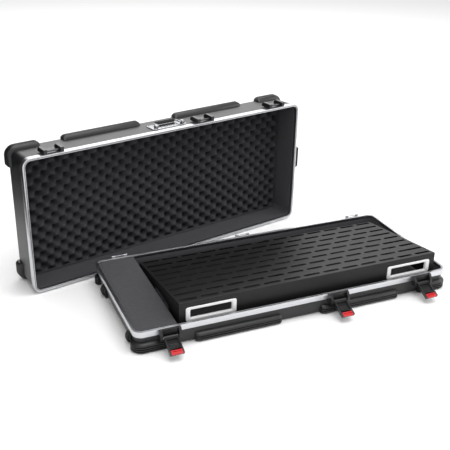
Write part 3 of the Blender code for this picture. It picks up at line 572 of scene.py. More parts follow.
def add_spline(curve, points, closed):
    """A straight-sided line through (x, y, z) points, in a curve."""
    spline = curve.splines.new("POLY")
    spline.points.add(len(points) - 1)
    for point, place in zip(spline.points, points):
        point.co = (*place, 1.0)
    spline.use_cyclic_u = closed


def middle_along(node, stand):
    """Where a node's middle lies along its half of the case."""
    xs = [(stand.inverted() @ v.co).x for v in frame["nodes"][node].data.vertices]
    return (min(xs) + max(xs)) / 2


# ---- Case shells --------------------------------------------------------------------------------
def shell_rows(height, draft, inset, floor, edge, top, steps=8):
    """Rows of a leaning wall, its rounded edge and the start of its closed face, from the top down."""
    rows = [(shell_inset(top, height, draft) + inset, top)]
    centre = shell_inset(floor + edge, height, draft) + inset + edge
    for step in range(steps + 1):
        angle = math.radians(90 * step / steps)
        rows.append((centre - edge * math.cos(angle), floor + edge - edge * math.sin(angle)))
    return rows


def sized(rows):
    """(inset, z) rows as rounded rectangles of the case's plan."""
    return [(LENGTH - 2 * inset, WIDTH - 2 * inset, CORNER - inset, z) for inset, z in rows]


PANEL_INSET = 62 * MM
PANEL_DEPTH = 1.8 * MM
PANEL_RIBS = 4
PANEL_RIB_WIDE = 18 * MM


def case_shell(prefix, height, draft):
    """Formed tray with an even wall and a shallow sunk panel in its closed face."""
    top = height - RIM_CAP - FIT
    outside = shell_rows(height, draft, 0.0, 0.0, EDGE, top)
    panel = [(PANEL_INSET, 0.0), (PANEL_INSET + 1.2 * MM, 0.3 * MM), (PANEL_INSET + 3.4 * MM, 1.5 * MM),
             (PANEL_INSET + 4.6 * MM, PANEL_DEPTH), (PANEL_INSET + 40 * MM, PANEL_DEPTH)]
    inside = shell_rows(height, draft, WALL, WALL, EDGE - WALL, top)
    floor = [(PANEL_INSET, WALL), (PANEL_INSET + 40 * MM, WALL)]
    rows = list(reversed(outside + panel)) + inside + floor
    return as_object(prefix + "_moulded_shell", stack(sized(rows)), "abs", 50)


def panel_ribs(prefix):
    """Long stiffening ribs in the sunk panel, level with the face round it."""
    bm = bmesh.new()
    room = WIDTH - 2 * PANEL_INSET - 40 * MM
    long = LENGTH - 2 * PANEL_INSET - 60 * MM
    for i in range(PANEL_RIBS):
        y = -room / 2 + room * i / (PANEL_RIBS - 1)
        rows = [(long + 2 * grow, PANEL_RIB_WIDE + 2 * grow, PANEL_RIB_WIDE / 2 + grow, z)
                for grow, z in ((0.0, PANEL_DEPTH + 1 * MM), (0.0, PANEL_DEPTH), (-0.8 * MM, 0.8 * MM),
                                (-2 * MM, 0.2 * MM), (-3.2 * MM, 0.02 * MM))]
        rib = stack(rows, 10)
        bmesh.ops.translate(rib, vec=(0, y, 0), verts=rib.verts)
        merge_into(bm, rib)
    return as_object(prefix + "_panel_ribs", bm, "abs", 50)


def merge_into(bm, other):
    """Add one mesh's pieces to another."""
    mesh = bpy.data.meshes.new("part")
    other.to_mesh(mesh)
    other.free()
    bm.from_mesh(mesh)
    bpy.data.meshes.remove(mesh)
    return bm


def lining_ring(prefix, height, draft, foot):
    """Lining on the inside of the leaning wall, from the padding to under the rim."""
    top = height - RIM_CAP - 0.8 * MM
    outer = [(shell_inset(z, height, draft) + WALL + 0.1 * MM, z) for z in (top, foot)]
    inner = [(shell_inset(z, height, draft) + WALL + LINING, z)
             for z in (foot, foot + 1 * MM, top - 1 * MM, top)]
    inner[0] = (inner[0][0] - 0.5 * MM, inner[0][1])
    inner[-1] = (inner[-1][0] - 0.5 * MM, inner[-1][1])
    return as_object(prefix + "_wall_lining", stack(sized(outer + inner), closed=True), "lining", 50)


def housing_rooms():
    """Boxes that the wheel housings fill, a little larger all round."""
    for name in ("front", "rear"):
        low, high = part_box("wheel_housing_" + name)
        grow = Vector((0.3, 0.3, 0.3)) * MM
        yield block(low - grow - Vector((5, 0, 5)) * MM, high + grow, bevel=0.0)


def build_shells():
    for prefix, body, stand, height, draft in HALVES:
        shell = case_shell(prefix, height, draft)
        if prefix == "base":
            for room in housing_rooms():
                combine(shell, room, "DIFFERENCE")
        fit(even_shine(shell), body, "case_abs", prefix + "_shell", at=stand)
        fit(panel_ribs(prefix), body, "case_abs", at=stand)
        lining = lining_ring(prefix, height, draft, 13 * MM)
        if prefix == "base":
            for room in housing_rooms():
                combine(lining, room, "DIFFERENCE")
        fit(lining, body, "grey_lining", at=stand)


# ---- Rims ---------------------------------------------------------------------------------------
RIM_WALL = 2 * MM
RIM_DEPTH = 21 * MM
RIM_LIP = 1.5 * MM
RIM_LIP_DEPTH = 12 * MM
GROOVE = (5.2 * MM, 7.0 * MM, 1.5 * MM)


def rim_section():
    """The extrusion's section as (inset, depth below the mating face)."""
    start, end, depth = GROOVE
    lip = RIM_FACE - RIM_LIP
    return [(0.0, 0.0), (start, 0.0), (start, depth), (end, depth), (end, 0.0), (RIM_FACE, 0.0),
            (RIM_FACE, RIM_LIP_DEPTH), (lip, RIM_LIP_DEPTH), (lip, RIM_CAP), (RIM_WALL, RIM_CAP),
            (RIM_WALL, RIM_DEPTH), (0.0, RIM_DEPTH)]


def build_rims():
    for prefix, body, stand, height, _ in HALVES:
        section = rounded(rim_section(), 0.5 * MM, 3)
        rows = sized([(inset, height - down) for inset, down in section])
        rim = as_object(prefix + "_extruded_rim", stack(rows, closed=True), "rim", 50)
        fit(rim, body, "rim_aluminium", prefix + "_rim", at=stand)
        start, end, depth = GROOVE
        seal = rounded([(start + FIT, depth), (start + FIT, 0.5 * MM), (end - FIT, 0.5 * MM),
                        (end - FIT, depth)], 0.5 * MM, 4)
        rows = sized([(inset, height - down) for inset, down in seal])
        gasket = as_object(prefix + "_gasket", stack(rows, closed=True), "rubber", 60)
        fit(gasket, body, "foot_rubber", at=stand)


# ---- Corner bumpers and runners -----------------------------------------------------------------
BUMPER_LONG = 120 * MM
BUMPER_SHORT = 70 * MM
BUMPER_BY_WHEEL = 42 * MM
BUMPER_HEIGHT = 38 * MM
RUNNER_HEIGHT = 34 * MM
RUNNER_FROM_CENTRE = 80 * MM
RUNNER_FROM_END = 214 * MM
RIB_DEPTH = 4 * MM
RIB_GAP = 3 * MM
RIB_PITCH = 7.5 * MM
# Each end is drawn in towards the wall by these shares, at these places along it.
END_SHARES = (0.9, 0.35, 0.0)
END_STEPS = (5 * MM, 12 * MM)
SHORT_END_STEPS = (3 * MM, 8 * MM)


def guard_section(height, draft, tall, ribs):
    """Ribbed section as (outwards from the rim, height, whether it is the outside)."""
    foot = 7 * MM
    outside = [(PROUD - foot, 0.0), (PROUD - 3.2 * MM, 1.4 * MM), (PROUD - 0.9 * MM, 4.2 * MM), (PROUD, foot)]
    for i in reversed(range(ribs)):
        high = tall - 12 * MM - RIB_PITCH * i
        outside += [(PROUD, high - RIB_GAP - 0.5 * MM), (PROUD - RIB_DEPTH, high - RIB_GAP),
                    (PROUD - RIB_DEPTH, high - 0.4 * MM), (PROUD - 0.4 * MM, high + 0.3 * MM)]
    outside += [(PROUD - 0.2 * MM, tall - 9 * MM), (PROUD - 1.2 * MM, tall - 7.6 * MM),
                (PROUD - 8 * MM, tall - 2.4 * MM)]
    inside = [(-shell_inset(z, height, draft) + 0.2 * MM, z) for z in (tall, EDGE)]
    for step in range(1, 7):
        angle = math.radians(15 * step)
        out = -shell_inset(EDGE, height, draft) - EDGE + (EDGE + 0.2 * MM) * math.cos(angle)
        inside.append((out, EDGE - (EDGE + 0.2 * MM) * math.sin(angle)))
    inside[-1] = (inside[-1][0], 0.0)
    inside[-2] = (inside[-2][0], max(inside[-2][1], 0.1 * MM))
    return outside, inside


def guard(name, height, draft, tall, ribs, path):
    """Run the ribbed section along a path, tapered at both ends."""
    outside, inside = guard_section(height, draft, tall, ribs)
    bm = bmesh.new()
    loops = []
    count = len(path(0.0))
    for out, z, outer in [(o, z, True) for o, z in outside] + [(o, z, False) for o, z in inside]:
        loop = []
        for i in range(count):
            near = min(i, count - 1 - i)
            drawn_in = END_SHARES[min(near, 2)] * (PROUD + 1 * MM) if outer else 0.0
            x, y = path(out - drawn_in)[i]
            loop.append(bm.verts.new((x, y, z)))
        loops.append(loop)
    skin(bm, loops, around=False, along=True)
    bm.faces.new([loop[0] for loop in loops])
    bm.faces.new([loop[-1] for loop in loops])
    return as_object(name, bm, "guard", 28)


def bumper_path(sx, sy, short):
    """Plan of a corner bumper at a distance outside the rim."""
    def path(out):
        y = WIDTH / 2 + out
        x = LENGTH / 2 + out
        start = LENGTH / 2 - BUMPER_LONG
        end = WIDTH / 2 - short
        centre = (LENGTH / 2 - CORNER, WIDTH / 2 - CORNER)
        points = [(start + step, y) for step in (0.0, *END_STEPS)]
        for step in range(13):
            angle = math.radians(90 - 7.5 * step)
            radius = max(CORNER + out, 1 * MM)
            points.append((centre[0] + radius * math.cos(angle), centre[1] + radius * math.sin(angle)))
        points += [(x, end + step) for step in (*reversed(SHORT_END_STEPS), 0.0)]
        return [(sx * px, sy * py) for px, py in points]
    return path


def runner_path(sx, sy):
    """Plan of a straight runner at a distance outside the rim."""
    def path(out):
        y = sy * (WIDTH / 2 + out)
        low = RUNNER_FROM_CENTRE
        high = LENGTH / 2 - RUNNER_FROM_END
        near, far = END_STEPS
        spots = (low, low + near, low + far, high - far, high - near, high)
        return [(sx * x, y) for x in spots]
    return path


def build_guards():
    for prefix, body, stand, height, draft in HALVES:
        for side, sy in SIDES:
            for end, sx in ENDS:
                place = side + "_" + end
                short = BUMPER_BY_WHEEL if (prefix, end) == ("base", "left") else BUMPER_SHORT
                bumper = guard(prefix + "_corner_bumper_" + place, height, draft, BUMPER_HEIGHT, 3,
                               bumper_path(sx, sy, short))
                fit(bumper, body, "case_abs", prefix + "_bumper_" + place, at=stand)
                runner = guard(prefix + "_side_runner_" + place, height, draft, RUNNER_HEIGHT, 2,
                               runner_path(sx, sy))
                fit(runner, body, "case_abs", prefix + "_runner_" + place, at=stand)


# ---- Foam and padding ---------------------------------------------------------------------------
PEAK_ROUNDNESS = 0.62
CRATE_COLUMNS, CRATE_ROWS = 300, 132


def foam_height(x, y, settings, jitter):
    """Height of the egg-crate face above its base at a point."""
    along = x / settings.crate_long
    across = y / settings.crate_short
    wave = 0.5 + 0.5 * math.cos(math.tau * along) * math.cos(math.tau * across)
    peak = jitter[(round(2 * along), round(2 * across))] if wave > 0.5 else 0.0
    rise = wave ** PEAK_ROUNDNESS
    return settings.crate_valley + (settings.crate_peak - settings.crate_valley) * rise + peak * (rise - 0.5)


def egg_crate(settings):
    """Convoluted foam in the lid: staggered peaks, cut square at the walls."""
    random.seed(11)
    jitter = {(i, j): random.uniform(-1.6, 1.6) * MM for i in range(-60, 61) for j in range(-60, 61)}
    inset = shell_inset(20 * MM, LID_HEIGHT, LID_DRAFT) + WALL + LINING + 0.4 * MM
    half_x, half_y = LENGTH / 2 - inset, WIDTH / 2 - inset
    radius = CORNER - inset
    columns, rows = CRATE_COLUMNS, CRATE_ROWS
    bm = bmesh.new()
    grid = []
    for j in range(rows + 1):
        line = []
        for i in range(columns + 1):
            x = -half_x + 2 * half_x * i / columns
            y = -half_y + 2 * half_y * j / rows
            over = Vector((max(abs(x) - half_x + radius, 0.0), max(abs(y) - half_y + radius, 0.0)))
            if over.length > radius:
                pull = over.normalized() * radius
                x = math.copysign(half_x - radius + pull.x, x)
                y = math.copysign(half_y - radius + pull.y, y)
            line.append(bm.verts.new((x, y, WALL + foam_height(x, y, settings, jitter))))
        grid.append(line)
    skin(bm, grid, around=False)
    edge = ([grid[0][i] for i in range(columns)] + [grid[j][columns] for j in range(rows)]
            + [grid[rows][i] for i in range(columns, 0, -1)] + [grid[j][0] for j in range(rows, 0, -1)])
    wall = [bm.verts.new((v.co.x, v.co.y, 14 * MM)) for v in edge]
    foot = [bm.verts.new((v.co.x * (1 - 8 * MM / half_x), v.co.y * (1 - 8 * MM / half_y), WALL + FIT))
            for v in edge]
    skin(bm, [edge, wall, foot])
    bm.faces.new(foot)
    bmesh.ops.remove_doubles(bm, verts=bm.verts, dist=0.05 * MM)
    return as_object("lid_egg_crate_foam", bm, "foam", 70)


BLOCK_ROLL = 4 * MM


def side_block():
    """Padded block beside the board, level with the rim, its wrapped edges rolled over."""
    low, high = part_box("side_foam_block")
    rows = [(5.5 * MM, low.z), (5.0 * MM, low.z + 3 * MM)]
    for step in range(6):
        angle = math.radians(18 * step)
        rows.append((BLOCK_ROLL * (1 - math.cos(angle)), high.z - BLOCK_ROLL + BLOCK_ROLL * math.sin(angle)))
    rows.append((20 * MM, high.z + 0.6 * MM))
    bm = bmesh.new()
    loops = []
    for inset, z in rows:
        loop = []
        for x, y in rounded_rectangle(2 * (high.x - low.x) - 2 * inset, high.y - low.y - 2 * inset,
                                      CORNER - RIM_FACE - inset, 12):
            loop.append(bm.verts.new((x + high.x, y + (low.y + high.y) / 2, z)))
        loops.append(loop)
    skin(bm, loops)
    bm.faces.new(loops[0])
    bm.faces.new(loops[-1])
    obj = as_object("side_padded_block", bm, "block", 50)
    trim = block((high.x - 0.1 * MM, -WIDTH, -0.1), (high.x + 1.0, WIDTH, 0.3), bevel=0.0)
    combine(obj, trim, "DIFFERENCE")
    return soften(obj, 2 * MM, 50)


def floor_pad():
    """Lined foam slab under the board, its upper edge rolled over."""
    low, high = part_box("base_floor_pad")
    length, width = high.x - low.x, high.y - low.y
    rows = [(length - 2 * inset, width - 2 * inset, 8 * MM - inset, z) for inset, z in
            ((1.5 * MM, low.z), (0.0, low.z + 2 * MM), (0.0, high.z - 2.5 * MM),
             (0.7 * MM, high.z - 0.7 * MM), (2.5 * MM, high.z - FIT), (40 * MM, high.z - FIT))]
    return as_object("base_lined_floor_pad", stack(rows), "lining", 60)


def build_padding(settings):
    foam = fit(egg_crate(settings), "case_lid", "lid_foam", "lid_foam", at=LID)
    for obj, node in ((side_block(), "side_foam_block"), (floor_pad(), "base_floor_pad")):
        for room in housing_rooms():
            combine(obj, room, "DIFFERENCE")
        fit(obj, "case_base", "grey_lining", node)


# ---- Pedalboard ---------------------------------------------------------------------------------
DECK_LOW, DECK_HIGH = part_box("board_deck")
SHEET = 2 * MM
SLOPE = math.radians(9.2)
SLOT_PITCH = 78.3 * MM
SLOT_GAP = 13.5 * MM
SLOT_MARGIN = 8 * MM
ROW_FIRST = 25.6 * MM
ROW_LAST = 12 * MM
ROW_PITCH = 51.6 * MM
FLANGE = 18 * MM
BEND = 3 * MM
BAY_OPENING = (152 * MM, 33 * MM)
BAY_CORNER = 8 * MM
BAY_THICK = 3 * MM
BAY_DEPTH = 10 * MM


def slot_outline(start, end, row, width, steps=8):
    """A slot with rounded ends, in the deck's own plane."""
    radius = width / 2
    points = []
    for centre, turn in ((end - radius, -90), (start + radius, 90)):
        for step in range(steps + 1):
            angle = math.radians(turn + 180 * step / steps)
            points.append((centre + radius * math.cos(angle), row + radius * math.sin(angle)))
    return points


def slot_rows(width):
    """Whole rows of slots, with rows set over by half a pitch between them."""
    length = DECK_HIGH.x - DECK_LOW.x
    depth = DECK_HIGH.y - DECK_LOW.y
    field = length - 2 * SLOT_MARGIN
    count = round((field + SLOT_GAP) / SLOT_PITCH)
    pitch = (field + SLOT_GAP) / count
    slot = pitch - SLOT_GAP
    start = -length / 2 + SLOT_MARGIN
    outlines = []
    for row in range(1 + int((depth / math.cos(SLOPE) - ROW_FIRST - ROW_LAST) / ROW_PITCH)):
        offset = start + (pitch / 2 if row % 2 else 0.0)
        spans = [[offset + i * pitch, offset + i * pitch + slot] for i in range(count - row % 2)]
        if row % 2:
            spans[0][0] = start
            spans[-1][1] = start + field
        outlines += [slot_outline(a, b, ROW_FIRST + row * ROW_PITCH, width) for a, b in spans]
    return outlines


def filled(outlines, matrix):
    """A flat face from its edge and its holes."""
    curve = bpy.data.curves.new("sheet_outline", "CURVE")
    curve.dimensions = "2D"
    curve.fill_mode = "BOTH"
    for outline in outlines:
        add_spline(curve, [(x, y, 0.0) for x, y in outline], True)
    mesh = mesh_of(curve)
    mesh.transform(matrix)
    return mesh


def upright(point, direction):
    """A plane whose x runs along the board and whose y runs along a (y, z) direction."""
    y, z = Vector(direction).normalized()
    return Matrix(((1, 0, 0, 0), (0, y, -z, point[0]), (0, z, y, point[1]), (0, 0, 0, 1)))


def deck_sheet(settings):
    """The bent sheet: flanges, rear wall, slotted deck and front wall with its bay openings."""
    length = DECK_HIGH.x - DECK_LOW.x
    front, rear = DECK_LOW.y, DECK_HIGH.y
    top, foot = DECK_HIGH.z, DECK_LOW.z
    drop = (rear - front) * math.tan(SLOPE)
    line = rounded([(front + FLANGE, foot), (front, foot), (front, top), (rear, top - drop), (rear, foot),
                    (rear - FLANGE, foot)], BEND, 8, closed=False)
    spans = [(Vector(b) - Vector(a)).length for a, b in zip(line, line[1:])]
    deck = spans.index(max(spans))
    face = next(i for i in range(deck) if spans[i] > 50 * MM)
    bm = bmesh.new()
    middle = (DECK_LOW.x + DECK_HIGH.x) / 2
    for i, (a, b) in enumerate(zip(line, line[1:])):
        edge = [(-length / 2, 0.0), (length / 2, 0.0), (length / 2, spans[i]), (-length / 2, spans[i])]
        place = Matrix.Translation((middle, 0, 0)) @ upright(a, Vector(b) - Vector(a))
        if i == deck:
            from_bend = (Vector(a) - Vector((front, top))).length
            holes = [[(x, y - from_bend) for x, y in outline] for outline in slot_rows(settings.slot_width)]
            mesh = filled([edge] + holes, place)
        elif i == face:
            holes = []
            for name, _ in ENDS:
                low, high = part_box("patchbay_frame_" + name)
                centre = ((low.x + high.x) / 2 - middle, (low.z + high.z) / 2 - a[1])
                holes.append(rounded_rectangle(BAY_OPENING[0] + 4.6 * MM, BAY_OPENING[1] + 4.6 * MM,
                                               BAY_CORNER / 2, 6, centre))
            mesh = filled([edge] + holes, place)
        else:
            strip = bmesh.new()
            strip.faces.new([strip.verts.new(place @ Vector((x, y, 0))) for x, y in edge])
            mesh = bpy.data.meshes.new("strip")
            strip.to_mesh(mesh)
            strip.free()
        bm.from_mesh(mesh)
        bpy.data.meshes.remove(mesh)
    bmesh.ops.remove_doubles(bm, verts=bm.verts, dist=0.02 * MM)
    obj = as_object("slotted_deck_sheet", bm, "deck", 35)
    largest = max(obj.data.polygons, key=lambda f: f.area)
    if largest.normal.z < 0:
        obj.data.flip_normals()
    sheet = obj.modifiers.new("sheet", "SOLIDIFY")
    sheet.thickness = SHEET
    sheet.offset = -1.0
    sheet.use_even_offset = True
    return settle(obj)


def bay_frame(name):
    """Snap-in frame: rounded face plate, sunk inner step and collar."""
    low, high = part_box("patchbay_frame_" + name)
    back = (BAY_DEPTH - BAY_THICK) / MM
    face = BAY_THICK / MM
    # Millimetres: growth, growth of the corner, height.
    plate = ((0, 0, 0), (0, 0, face - 1.2), (-0.8, -0.4, face - 0.35), (-2.6, -1.3, face))
    hole = ((4.4, 2, face), (2.4, 1, face - 0.5), (0.4, 0.2, face - 1.6), (0, 0, face - 2.2), (0, 0, -back),
            (4, 2, -back), (4, 2, 0))
    rows = []
    for length, width, corner, steps in ((high.x - low.x, high.z - low.z, BAY_CORNER, plate),
                                         (*BAY_OPENING, BAY_CORNER / 2, hole)):
        rows += [(length + grow * MM, width + grow * MM, corner + turn * MM, z * MM)
                 for grow, turn, z in steps]
    bm = stack(rows, 10, closed=True)
    centre = Vector(((low.x + high.x) / 2, low.y + BAY_THICK, (low.z + high.z) / 2))
    place = Matrix.Translation(centre) @ Matrix.Rotation(math.radians(90), 4, "X")
    bmesh.ops.transform(bm, matrix=place, verts=bm.verts)
    return as_object("patch_bay_surround_" + name, bm, "bay", 40)


def rubber_foot(name):
    """Turned foot with a rounded tread and a screw well."""
    low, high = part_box("board_foot_" + name)
    radius = (high.x - low.x) / 2
    tall = high.z - low.z
    # Shares of the radius and the height: tread, side, top, and the screw well.
    shares = ((0.35, 0), (0.86, 0), (0.96, 0.05), (1, 0.18), (0.94, 1), (0, 1), (0, 0.35), (0.30, 0.35))
    bm = turned([(r * radius, z * tall) for r, z in shares], 32)
    place = Matrix.Translation(((low.x + high.x) / 2, (low.y + high.y) / 2, low.z))
    bmesh.ops.transform(bm, matrix=place @ Matrix.Rotation(math.radians(90), 4, "X"), verts=bm.verts)
    return as_object("rubber_foot_" + name, bm, "rubber", 40)


def build_board(settings):
    fit(even_shine(deck_sheet(settings)), "pedalboard", "powder_coat", "board_deck")
    for name, _ in ENDS:
        refinish("board_end_" + name, "deck", 0.4 * MM)
        fit(bay_frame(name), "pedalboard", "bay_frame", "patchbay_frame_" + name)
    for side, _ in SIDES:
        for end, _ in ENDS:
            place = side + "_" + end
            fit(rubber_foot(place), "pedalboard", "foot_rubber", "board_foot_" + place)


# ---- Latches ------------------------------------------------------------------------------------
LATCHES = ("left", "middle", "right")
LATCH_HALF = 38 * MM
LEVER_HALF = 25 * MM
LEVER_LENGTH = 70 * MM
LEVER_THICK = 10 * MM
LEVER_HANG = math.radians(22)
LEVER_EDGE = 5 * MM
BARREL = 6.8 * MM
PIVOT_PIN = 3 * MM
LATCH_STEP = 2 * MM
RELEASE_LENGTH = 16 * MM
RELEASE_GAP = 3.3 * MM
GRIP_BARS = 3
GRIP_BAR_PITCH = 5 * MM
BRACKET_CHEEK = 9.5 * MM
BRACKET_PLATE = 4 * MM


def screw_head(radius, tall):
    """Domed screw head with a cross recess, standing on z = 0."""
    bm = bmesh.new()
    rings = 5
    dome = math.radians(78)
    loops = []
    for ring in range(rings + 1):
        angle = dome * ring / rings
        size = radius * math.cos(angle)
        z = tall * math.sin(angle) / math.sin(dome)
        turns = [math.radians(15 * i) for i in range(24)]
        loops.append([bm.verts.new((size * math.cos(turn), size * math.sin(turn), z)) for turn in turns])
    skin(bm, loops)
    bm.faces.new(loops[0])
    bm.faces.new(loops[-1])
    return bm


def screws(name, spots, radius, tall, place, body):
    """Several screw heads on one face, as one piece, each with its cross recess."""
    bm = bmesh.new()
    for x, y in spots:
        head = screw_head(radius, tall)
        bmesh.ops.translate(head, vec=(x, y, 0), verts=head.verts)
        merge_into(bm, head)
    obj = as_object(name, bm, "nickel", 45)
    cross = bmesh.new()
    for x, y in spots:
        for turn in (0.35, 0.35 + math.pi / 2):
            reach = Vector((radius * 0.6, radius * 0.13, tall * 2))
            bit = block((-reach.x, -reach.y, tall * 0.45), reach, 0.0)
            at = Matrix.Translation((x, y, 0)) @ Matrix.Rotation(turn, 4, "Z")
            bmesh.ops.transform(bit, matrix=at, verts=bit.verts)
            merge_into(cross, bit)
    combine(obj, cross, "DIFFERENCE", crossing=True, smooth=45)
    return fit(obj, body, "hardware_chrome", at=place)


def cheeks(obj, side, middle, width):
    """A side outline on both ends of a latch part."""
    for sx in (-1, 1):
        ends = sorted((middle + sx * (LATCH_HALF - width), middle + sx * LATCH_HALF))
        combine(obj, prism(side, *ends), "UNION")


def latch_bracket(name):
    """Moulded bracket: back plate and two cheeks with stepped shoulders."""
    low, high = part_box("latch_bracket_" + name)
    x = (low.x + high.x) / 2
    back, top, foot = high.y, high.z, low.z
    reach = high.y - low.y
    half = LATCH_HALF - LATCH_STEP
    plate = block((x - half, back - BRACKET_PLATE, foot), (x + half, back, top), 0.0)
    obj = as_object("latch_body_" + name, plate, "nylon")
    cheek = [(back, foot), (back, top), (back - 7 * MM, top), (back - 11 * MM, top - 3.5 * MM),
             (back - reach, top - 17 * MM), (back - reach, foot + 4 * MM), (back - reach + 6 * MM, foot)]
    cheeks(obj, cheek, x, BRACKET_CHEEK)
    tie = block((x - LATCH_HALF + 9 * MM, back - 7 * MM, top - 5 * MM),
                (x + LATCH_HALF - 9 * MM, back - 3 * MM, top), 0.0)
    combine(obj, tie, "UNION")
    return soften(obj, 0.9 * MM, 30)


def lever_shape(name):
    """Lever pointing straight out: raised sides, sunk panel with grip bars, and the release's well."""
    tip = LEVER_LENGTH - RELEASE_LENGTH - RELEASE_GAP
    wide = LEVER_HALF - LEVER_EDGE
    half = LEVER_THICK / 2
    paddle = block((-LEVER_HALF, -LEVER_LENGTH, -half), (LEVER_HALF, -1 * MM, half), 0.0)
    obj = as_object("latch_handle_" + name, paddle, "nylon")
    combine(obj, bar(BARREL, (-LEVER_HALF, 0, 0), (LEVER_HALF, 0, 0), 40, 0.02), "UNION")
    combine(obj, bar(PIVOT_PIN + FIT, (-60 * MM, 0, 0), (60 * MM, 0, 0), 32), "DIFFERENCE")
    combine(obj, block((-wide, -tip + 4 * MM, 1.0 * MM), (wide, -10.8 * MM, 20 * MM), 0.0), "DIFFERENCE")
    combine(obj, block((-wide, -LEVER_LENGTH - 10 * MM, -2 * MM), (wide, -tip, 20 * MM), 0.0), "DIFFERENCE")
    soften(obj, 0.8 * MM, 40)
    bm = bmesh.new()
    for i in range(GRIP_BARS):
        y = -tip + 9 * MM + GRIP_BAR_PITCH * i
        merge_into(bm, block((-wide + 4 * MM, y, 0.6 * MM), (wide - 4 * MM, y + 2 * MM, 2.2 * MM), 0.5 * MM))
    return obj, as_object("latch_grip_bars_" + name, bm, "nylon", 40)


def release_shape(name):
    """Red sliding release: crowned pad with a thumb scoop and grip ridges."""
    wide = LEVER_HALF - LEVER_EDGE - FIT
    low = -LEVER_LENGTH - 1 * MM
    high = low + RELEASE_LENGTH
    pad = block((-wide, low, -1.7 * MM), (wide, high, 6 * MM), 1.4 * MM)
    obj = as_object("latch_button_" + name, pad, "red")
    scoop = block((-wide + 3 * MM, low + 7.6 * MM, 3.2 * MM), (wide - 3 * MM, low + 11.2 * MM, 9 * MM), 0.0)
    combine(obj, scoop, "DIFFERENCE")
    for i in range(2):
        y = low + 3.2 * MM + 2.6 * MM * i
        combine(obj, bar(0.7 * MM, (-wide + 3 * MM, y, 6 * MM), (wide - 3 * MM, y, 6 * MM), 12), "UNION")
    return obj


def build_latches():
    for name in LATCHES:
        joint = JOINTS["latch_" + name + "_swing"]
        pivot = Vector(joint["pos_m"])
        fit(even_shine(latch_bracket(name)), "case_base", "latch_nylon", "latch_bracket_" + name)
        reach = Vector((LATCH_HALF - 1.2 * MM, 0, 0))
        pin = as_object("latch_pin_" + name, bar(PIVOT_PIN, pivot - reach, pivot + reach, 32), "nickel")
        fit(pin, "case_base", "hardware_chrome")
        hang = Matrix.Translation(pivot) @ Matrix.Rotation(LEVER_HANG, 4, "X")
        lever, bars = lever_shape(name)
        fit(even_shine(lever), "lever_" + name, "latch_nylon", "latch_lever_" + name, at=hang)
        fit(bars, "lever_" + name, "latch_nylon", at=hang)
        fit(release_shape(name), "release_" + name, "release_red", "latch_release_" + name, at=hang)


CATCH_DEPTH = 56 * MM
CATCH_REACH = 18 * MM
CATCH_CHEEK = 12.5 * MM
CATCH_BAR = 3 * MM
CATCH_BAR_OUT = 8.5 * MM
CATCH_BAR_DOWN = 12 * MM


def build_keepers():
    """Catches on the lid: plate, two blocks with sloped shoulders, and a steel bar."""
    face = WIDTH / 2 + FIT
    top = LID_HEIGHT - FIT
    foot = top - CATCH_DEPTH
    for name in LATCHES:
        x = middle_along("latch_keeper_" + name, LID)
        half = LATCH_HALF - LATCH_STEP
        plate = block((x - half, face, foot), (x + half, face + 3 * MM, top), 0.0)
        obj = as_object("latch_catch_" + name, plate, "nylon")
        side = [(face, top), (face + CATCH_REACH, top), (face + CATCH_REACH, foot + 12 * MM),
                (face + 9 * MM, foot), (face, foot)]
        cheeks(obj, side, x, CATCH_CHEEK)
        soften(obj, 1.2 * MM, 30)
        fit(even_shine(obj), "case_lid", "latch_nylon", "latch_keeper_" + name, at=LID)
        y, z = WIDTH / 2 + CATCH_BAR_OUT, LID_HEIGHT - CATCH_BAR_DOWN
        reach = LATCH_HALF - 8 * MM
        rod = bar(CATCH_BAR, (x - reach, y, z), (x + reach, y, z), 32)
        fit(as_object("catch_bar_" + name, rod, "dark_steel"), "case_lid", "hardware_chrome", at=LID)


# ---- Hinges -------------------------------------------------------------------------------------
HINGE_LEAF = 1.8 * MM
RIVET_DOWN = 10 * MM
RIVET_SPREAD = 21 * MM
RIVET = (2.6 * MM, 1.3 * MM)


def build_hinges():
    """The CAD halves in bright plate, with rivets through each leaf."""
    spots = [(spread, 0) for spread in (-RIVET_SPREAD, 0, RIVET_SPREAD)]
    for prefix, body, stand, height, _ in HALVES:
        side = 1 if prefix == "base" else -1
        for name in LATCHES:
            node = "hinge_" + prefix + "_" + name
            refinish(node, "nickel", 0.25 * MM)
            spot = (middle_along(node, stand), side * (WIDTH / 2 + FIT + HINGE_LEAF), height - RIVET_DOWN)
            place = stand @ Matrix.Translation(spot) @ Matrix.Rotation(math.radians(-90 * side), 4, "X")
            screws("hinge_rivets_" + prefix + "_" + name, spots, *RIVET, place, body)


# ---- Wheels -------------------------------------------------------------------------------------
AXLE = 3 * MM
SPOKES = 5
# Shares of the wheel's radius and half width, from one side to the middle.
TYRE = ((0.66, 0.9), (0.86, 1), (0.95, 0.9), (0.985, 0.7), (1, 0.3), (0.94, 0.2))
HUB = ((0.24, 1), (0.28, 0.85), (0.30, 0.45), (0.52, 0.45), (0.56, 0.9), (0.655, 0.9))


def even_profile(shares, radius, half):
    """A section's one half and its mirror image."""
    points = [(r * radius, y * half) for r, y in shares]
    return points + [(r, -y) for r, y in reversed(points)]


